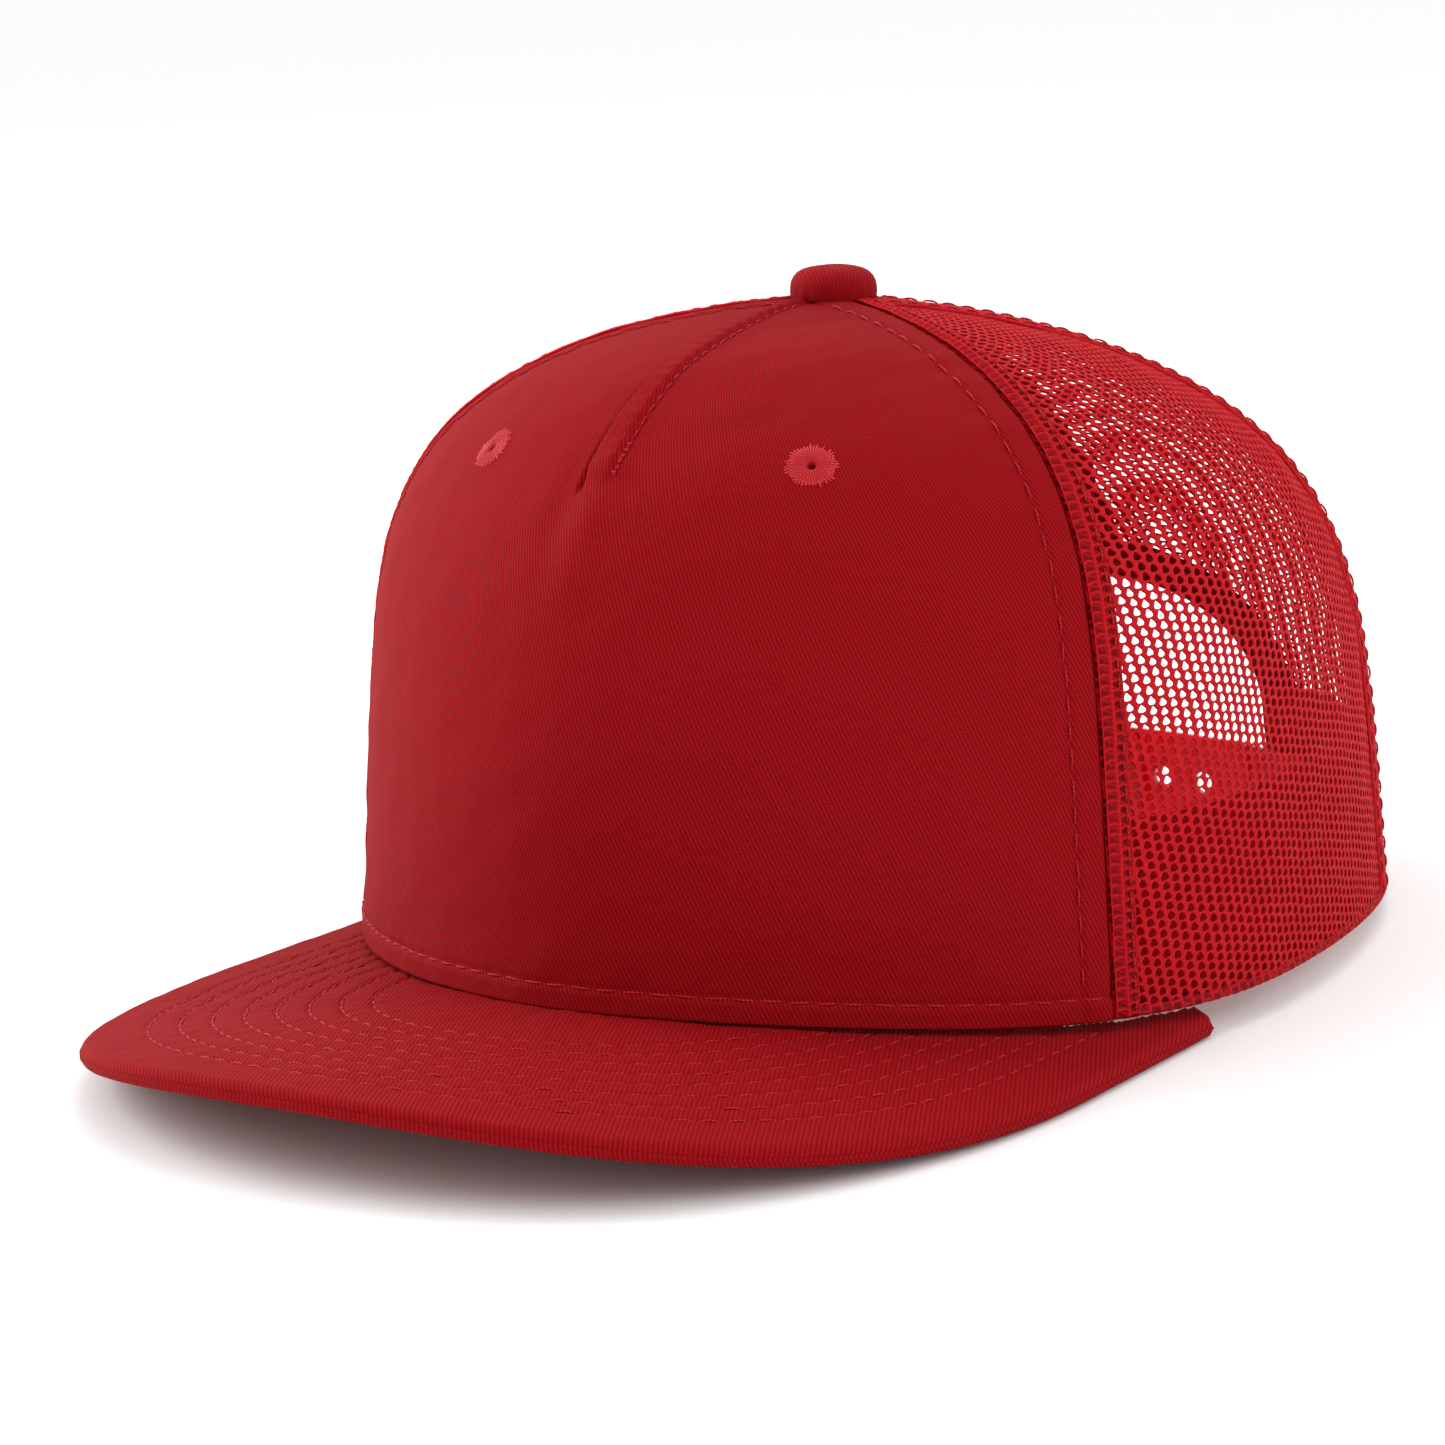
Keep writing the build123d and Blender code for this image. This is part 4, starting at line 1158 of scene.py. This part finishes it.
class CAP_OT_eyelets(bpy.types.Operator):
    """Embroidered eyelets of the front panel"""
    bl_idname = "cap.eyelets"
    bl_label = "Eyelets"

    def execute(self, context):
        settings = millimetres(context.scene.cap_stitches)
        for side, hand in ((1, "left"), (-1, "right")):
            turn = np.linspace(0, 2 * math.pi, 528, endpoint=False)[None, :]
            radius = np.array([4.0, 3.95, 3.75, 3.3, 2.7, 2.1, 1.55, 1.1, 0.8, 0.66, 0.6, 0.62, 1.0, 2.3])[:, None]
            lift = np.array([-0.15, 0.06, 0.16, 0.24, 0.30, 0.34, 0.36, 0.32, 0.15, -0.1, -0.5, -1.2, -1.75,
                             -1.8])[:, None]
            threads = 44
            draw = np.random.default_rng(500 + side)
            share = turn / (2 * math.pi) * threads
            comb = np.abs(np.sin(math.pi * share))
            reaches = draw.uniform(-0.45, 0.35, threads)[np.floor(share).astype(int)]
            outer = ease(radius, 2.4, 3.9)
            height = lift + 0.22 * (comb - 0.5) * groove(radius - 2.6, 1.6)
            reach = radius + outer * (reaches * comb + 0.5 * (comb - 0.6))
            rate_u = across_rate(EYELET_ANGLES[side], EYELET_RISE)
            step = crown(EYELET_ANGLES[side], EYELET_RISE + 0.005) - crown(EYELET_ANGLES[side], EYELET_RISE - 0.005)
            rate_v = np.linalg.norm(step) / 0.01
            angle = side * (EYELET_ANGLES[side] + reach * np.cos(turn) / rate_u)
            rise = EYELET_RISE + reach * np.sin(turn) / rate_v
            base = front_lift(angle, rise, settings) * (lift > -1)
            points = crown(angle, rise, -(height + base))
            build = Build()
            build.grid(points, turn * 3 + 0 * reach, radius + 0 * turn, 0.2 + 0.8 * comb + 0 * radius,
                       close=True, flip=side < 0)
            build.piece(f"{hand}_eyelet_thread", MATERIALS["embroidery"], replaces=[f"{hand}_eyelet"],
                        slot="thread")
        return {"FINISHED"}


# ---- snap strap --------------------------------------------------------------------------


def strap_line(x, depth):
    """Middle line of a strap in plan."""
    return BACK_REACH - depth - STRAP_BOW * (x / STRAP_PIVOT) ** 2


def turned_about_y(build, x, y, profile, sides=40):
    """A small round part whose axis points backwards; profile is pairs of radius and y."""
    turn = np.linspace(0, 2 * math.pi, sides, endpoint=False)
    radius, out = np.array(profile)[:, :1], np.array(profile)[:, 1:]
    points = np.stack([x + radius * np.cos(turn), y + out + 0 * turn, SNAP_HEIGHT + radius * np.sin(turn)], -1)
    build.grid(points, turn * 3 + 0 * radius, out + 0 * turn, close=True)


class CAP_OT_snap_strap(bpy.types.Operator):
    """Plastic snap straps: finishes, snap rims and the stitching of the tabs"""
    bl_idname = "cap.snap_strap"
    bl_label = "Snap strap"

    def execute(self, context):
        settings = millimetres(context.scene.cap_stitches)
        for name in ("hole_strap", "peg_strap", "left_strap_tab", "right_strap_tab"):
            dress(name, MATERIALS["plastic"])
        half = STRAP_THICKNESS / 2
        rims = Build()
        for number in range(5):
            x = SNAP_FIRST - SNAP_PITCH * number
            y = strap_line(x, HOLE_STRAP_DEPTH)
            turned_about_y(rims, x, y, [(2.08, half - 0.5), (2.08, half + 0.25), (2.2, half + 0.42), (2.55, half + 0.45),
                                        (2.95, half + 0.35), (3.1, half + 0.1), (3.1, half - 0.3)])
        rims.piece("hole_strap_rims", MATERIALS["plastic"], body="hole_strap", slot="snap_plastic")
        pegs = Build()
        for number in (2, 3, 4):
            x = SNAP_FIRST - SNAP_PITCH * number
            y = strap_line(x, PEG_STRAP_DEPTH) + half
            turned_about_y(pegs, x, y, [(2.3, -0.3), (2.3, 0.1), (1.9, 0.25), (1.5, 0.4), (1.47, 1.0), (1.62, 1.3),
                                        (1.7, 1.6), (1.6, 1.9), (1.2, 2.05), (0.6, 2.1), (0.05, 2.12)])
        pegs.piece("peg_strap_pegs", MATERIALS["plastic"], body="peg_strap", slot="snap_plastic")
        thread = Build()
        for side, depth in ((1, HOLE_STRAP_DEPTH), (-1, PEG_STRAP_DEPTH)):
            for face in (1, -1):
                corners = [(30.8, 3.6), (40.6, 3.6), (40.6, 17.4), (30.8, 17.4), (30.8, 3.6)]
                path = []
                for (x0, z0), (x1, z1) in zip(corners, corners[1:]):
                    t = np.linspace(0, 1, 12)[:-1]
                    path += [(side * (x0 + (x1 - x0) * k), z0 + (z1 - z0) * k) for k in t]
                path = np.array(path)
                y = strap_line(path[:, 0], depth) + face * (half + 0.05)
                sew(thread, np.stack([path[:, 0], y, path[:, 1]], -1),
                    np.tile([0.0, float(face), 0.0], (len(path), 1)), 2.4, settings.thread_radius,
                    seed=600 + side)
        thread.piece("tab_stitching", MATERIALS["thread"], slot="thread")
        return {"FINISHED"}


# ---- stage -------------------------------------------------------------------------------

CAMERA_AZIMUTH, CAMERA_ELEVATION, CAMERA_ROLL = 33.087, 11.364, 1.632
CAMERA_AIM, CAMERA_DISTANCE, CAMERA_LENS = (-0.02196, -0.00481, 0.03957), 0.76486, 108.29


class CAP_OT_stage(bpy.types.Operator):
    """Pale floor, soft studio light and the camera"""
    bl_idname = "cap.stage"
    bl_label = "Stage"

    def execute(self, context):
        light = context.scene.cap_light
        floor_mesh = bpy.data.meshes.new("floor")
        profile = [(-15.0, 0.0), (25.0, 0.0)]
        azimuth = math.radians(CAMERA_AZIMUTH)
        ahead = Vector((-math.sin(azimuth), math.cos(azimuth), 0))
        aside = Vector((math.cos(azimuth), math.sin(azimuth), 0))
        points = [ahead * d + aside * w + Vector((0, 0, h)) for d, h in profile for w in (-15.0, 15.0)]
        quads = [(2 * i, 2 * i + 1, 2 * i + 3, 2 * i + 2) for i in range(len(profile) - 1)]
        floor_mesh.from_pydata(points, [], quads)
        floor = bpy.data.objects.new("floor", floor_mesh)
        context.scene.collection.objects.link(floor)
        material, tree, output = new_material("matt_paper")
        place = node(tree, "ShaderNodeTexCoord").outputs["Object"]
        grain = node(tree, "ShaderNodeTexNoise", {"Vector": place, "Scale": 300.0, "Detail": 2.0})
        rough = node(tree, "ShaderNodeMapRange", {"Value": grain.outputs["Fac"], "To Min": 0.8, "To Max": 0.95})
        shader = node(tree, "ShaderNodeBsdfPrincipled",
                      {"Base Color": (*light.floor, 1.0), "Roughness": rough.outputs["Result"],
                       "Specular IOR Level": 0.1})
        tree.links.new(shader.outputs[0], output.inputs["Surface"])
        floor_mesh.materials.append(material)

        context.scene.view_settings.view_transform = "Standard"
        world = bpy.data.worlds.new("studio")
        world.use_nodes = True
        world.node_tree.nodes["Background"].inputs["Color"].default_value = (1.0, 1.0, 1.0, 1.0)
        world.node_tree.nodes["Background"].inputs["Strength"].default_value = light.sky
        context.scene.world = world

        for name, bearing, height, reach, size, power in (
                ("key_light", CAMERA_AZIMUTH - 112, 27, 1.5, 1.0, light.key_power),
                ("top_light", CAMERA_AZIMUTH + 150, 70, 1.5, 1.2, light.key_power * 0.3),
                ("fill_light", CAMERA_AZIMUTH + 60, 30, 1.7, 1.2, light.key_power * 0.35)):
            data = bpy.data.lights.new(name, "AREA")
            data.shape, data.size, data.energy = "DISK", size, power
            lamp = bpy.data.objects.new(name, data)
            a, e = math.radians(bearing), math.radians(height)
            spot = Vector((math.sin(a) * math.cos(e), -math.cos(a) * math.cos(e), math.sin(e))) * reach
            lamp.location = spot
            lamp.rotation_euler = (-spot).to_track_quat("-Z", "Y").to_euler()
            context.scene.collection.objects.link(lamp)

        data = bpy.data.cameras.new("camera")
        data.lens, data.sensor_width = CAMERA_LENS, 36.0
        data.clip_start, data.clip_end = 0.05, 60.0
        camera = bpy.data.objects.new("camera", data)
        elevation, roll = math.radians(CAMERA_ELEVATION), math.radians(CAMERA_ROLL)
        back = Vector((math.sin(azimuth) * math.cos(elevation), -math.cos(azimuth) * math.cos(elevation),
                       math.sin(elevation)))
        up = back.cross(aside)
        right = aside * math.cos(roll) - up * math.sin(roll)
        turned = Matrix((right, back.cross(right), back)).transposed()
        camera.matrix_world = Matrix.Translation(Vector(CAMERA_AIM) + back * CAMERA_DISTANCE) @ turned.to_4x4()
        context.scene.collection.objects.link(camera)
        context.scene.camera = camera
        return {"FINISHED"}


# ---- add-on ------------------------------------------------------------------------------

OPERATORS = (CAP_OT_finishes, CAP_OT_front_panel, CAP_OT_linings, CAP_OT_net_panels, CAP_OT_arch_binding, CAP_OT_sweatband,
             CAP_OT_bill, CAP_OT_button, CAP_OT_eyelets, CAP_OT_snap_strap, CAP_OT_stage)
GROUPS = {"cap_colours": CapColourSettings, "cap_stitches": CapStitchSettings, "cap_net": CapNetSettings, "cap_bill": CapBillSettings,
          "cap_light": CapLightSettings}


class CAP_PT_panel(bpy.types.Panel):
    """Sizes, colours and building steps of the cap"""
    bl_idname = "CAP_PT_panel"
    bl_label = "Trucker cap"
    bl_space_type = "VIEW_3D"
    bl_region_type = "UI"
    bl_category = "Cap"

    def draw(self, context):
        for name, group in GROUPS.items():
            box = self.layout.box()
            for setting in group.__annotations__:
                box.prop(getattr(context.scene, name), setting)
        for operator in OPERATORS:
            self.layout.operator(operator.bl_idname)


def register():
    for item in (*GROUPS.values(), *OPERATORS, CAP_PT_panel):
        bpy.utils.register_class(item)
    for name, group in GROUPS.items():
        setattr(bpy.types.Scene, name, PointerProperty(type=group))


def unregister():
    for name in GROUPS:
        delattr(bpy.types.Scene, name)
    for item in (CAP_PT_panel, *reversed(OPERATORS), *reversed(GROUPS.values())):
        bpy.utils.unregister_class(item)


def main():
    """Build every piece in order."""
    register()
    for operator in OPERATORS:
        group, name = operator.bl_idname.split(".")
        getattr(getattr(bpy.ops, group), name)()


if __name__ == "__main__":
    main()
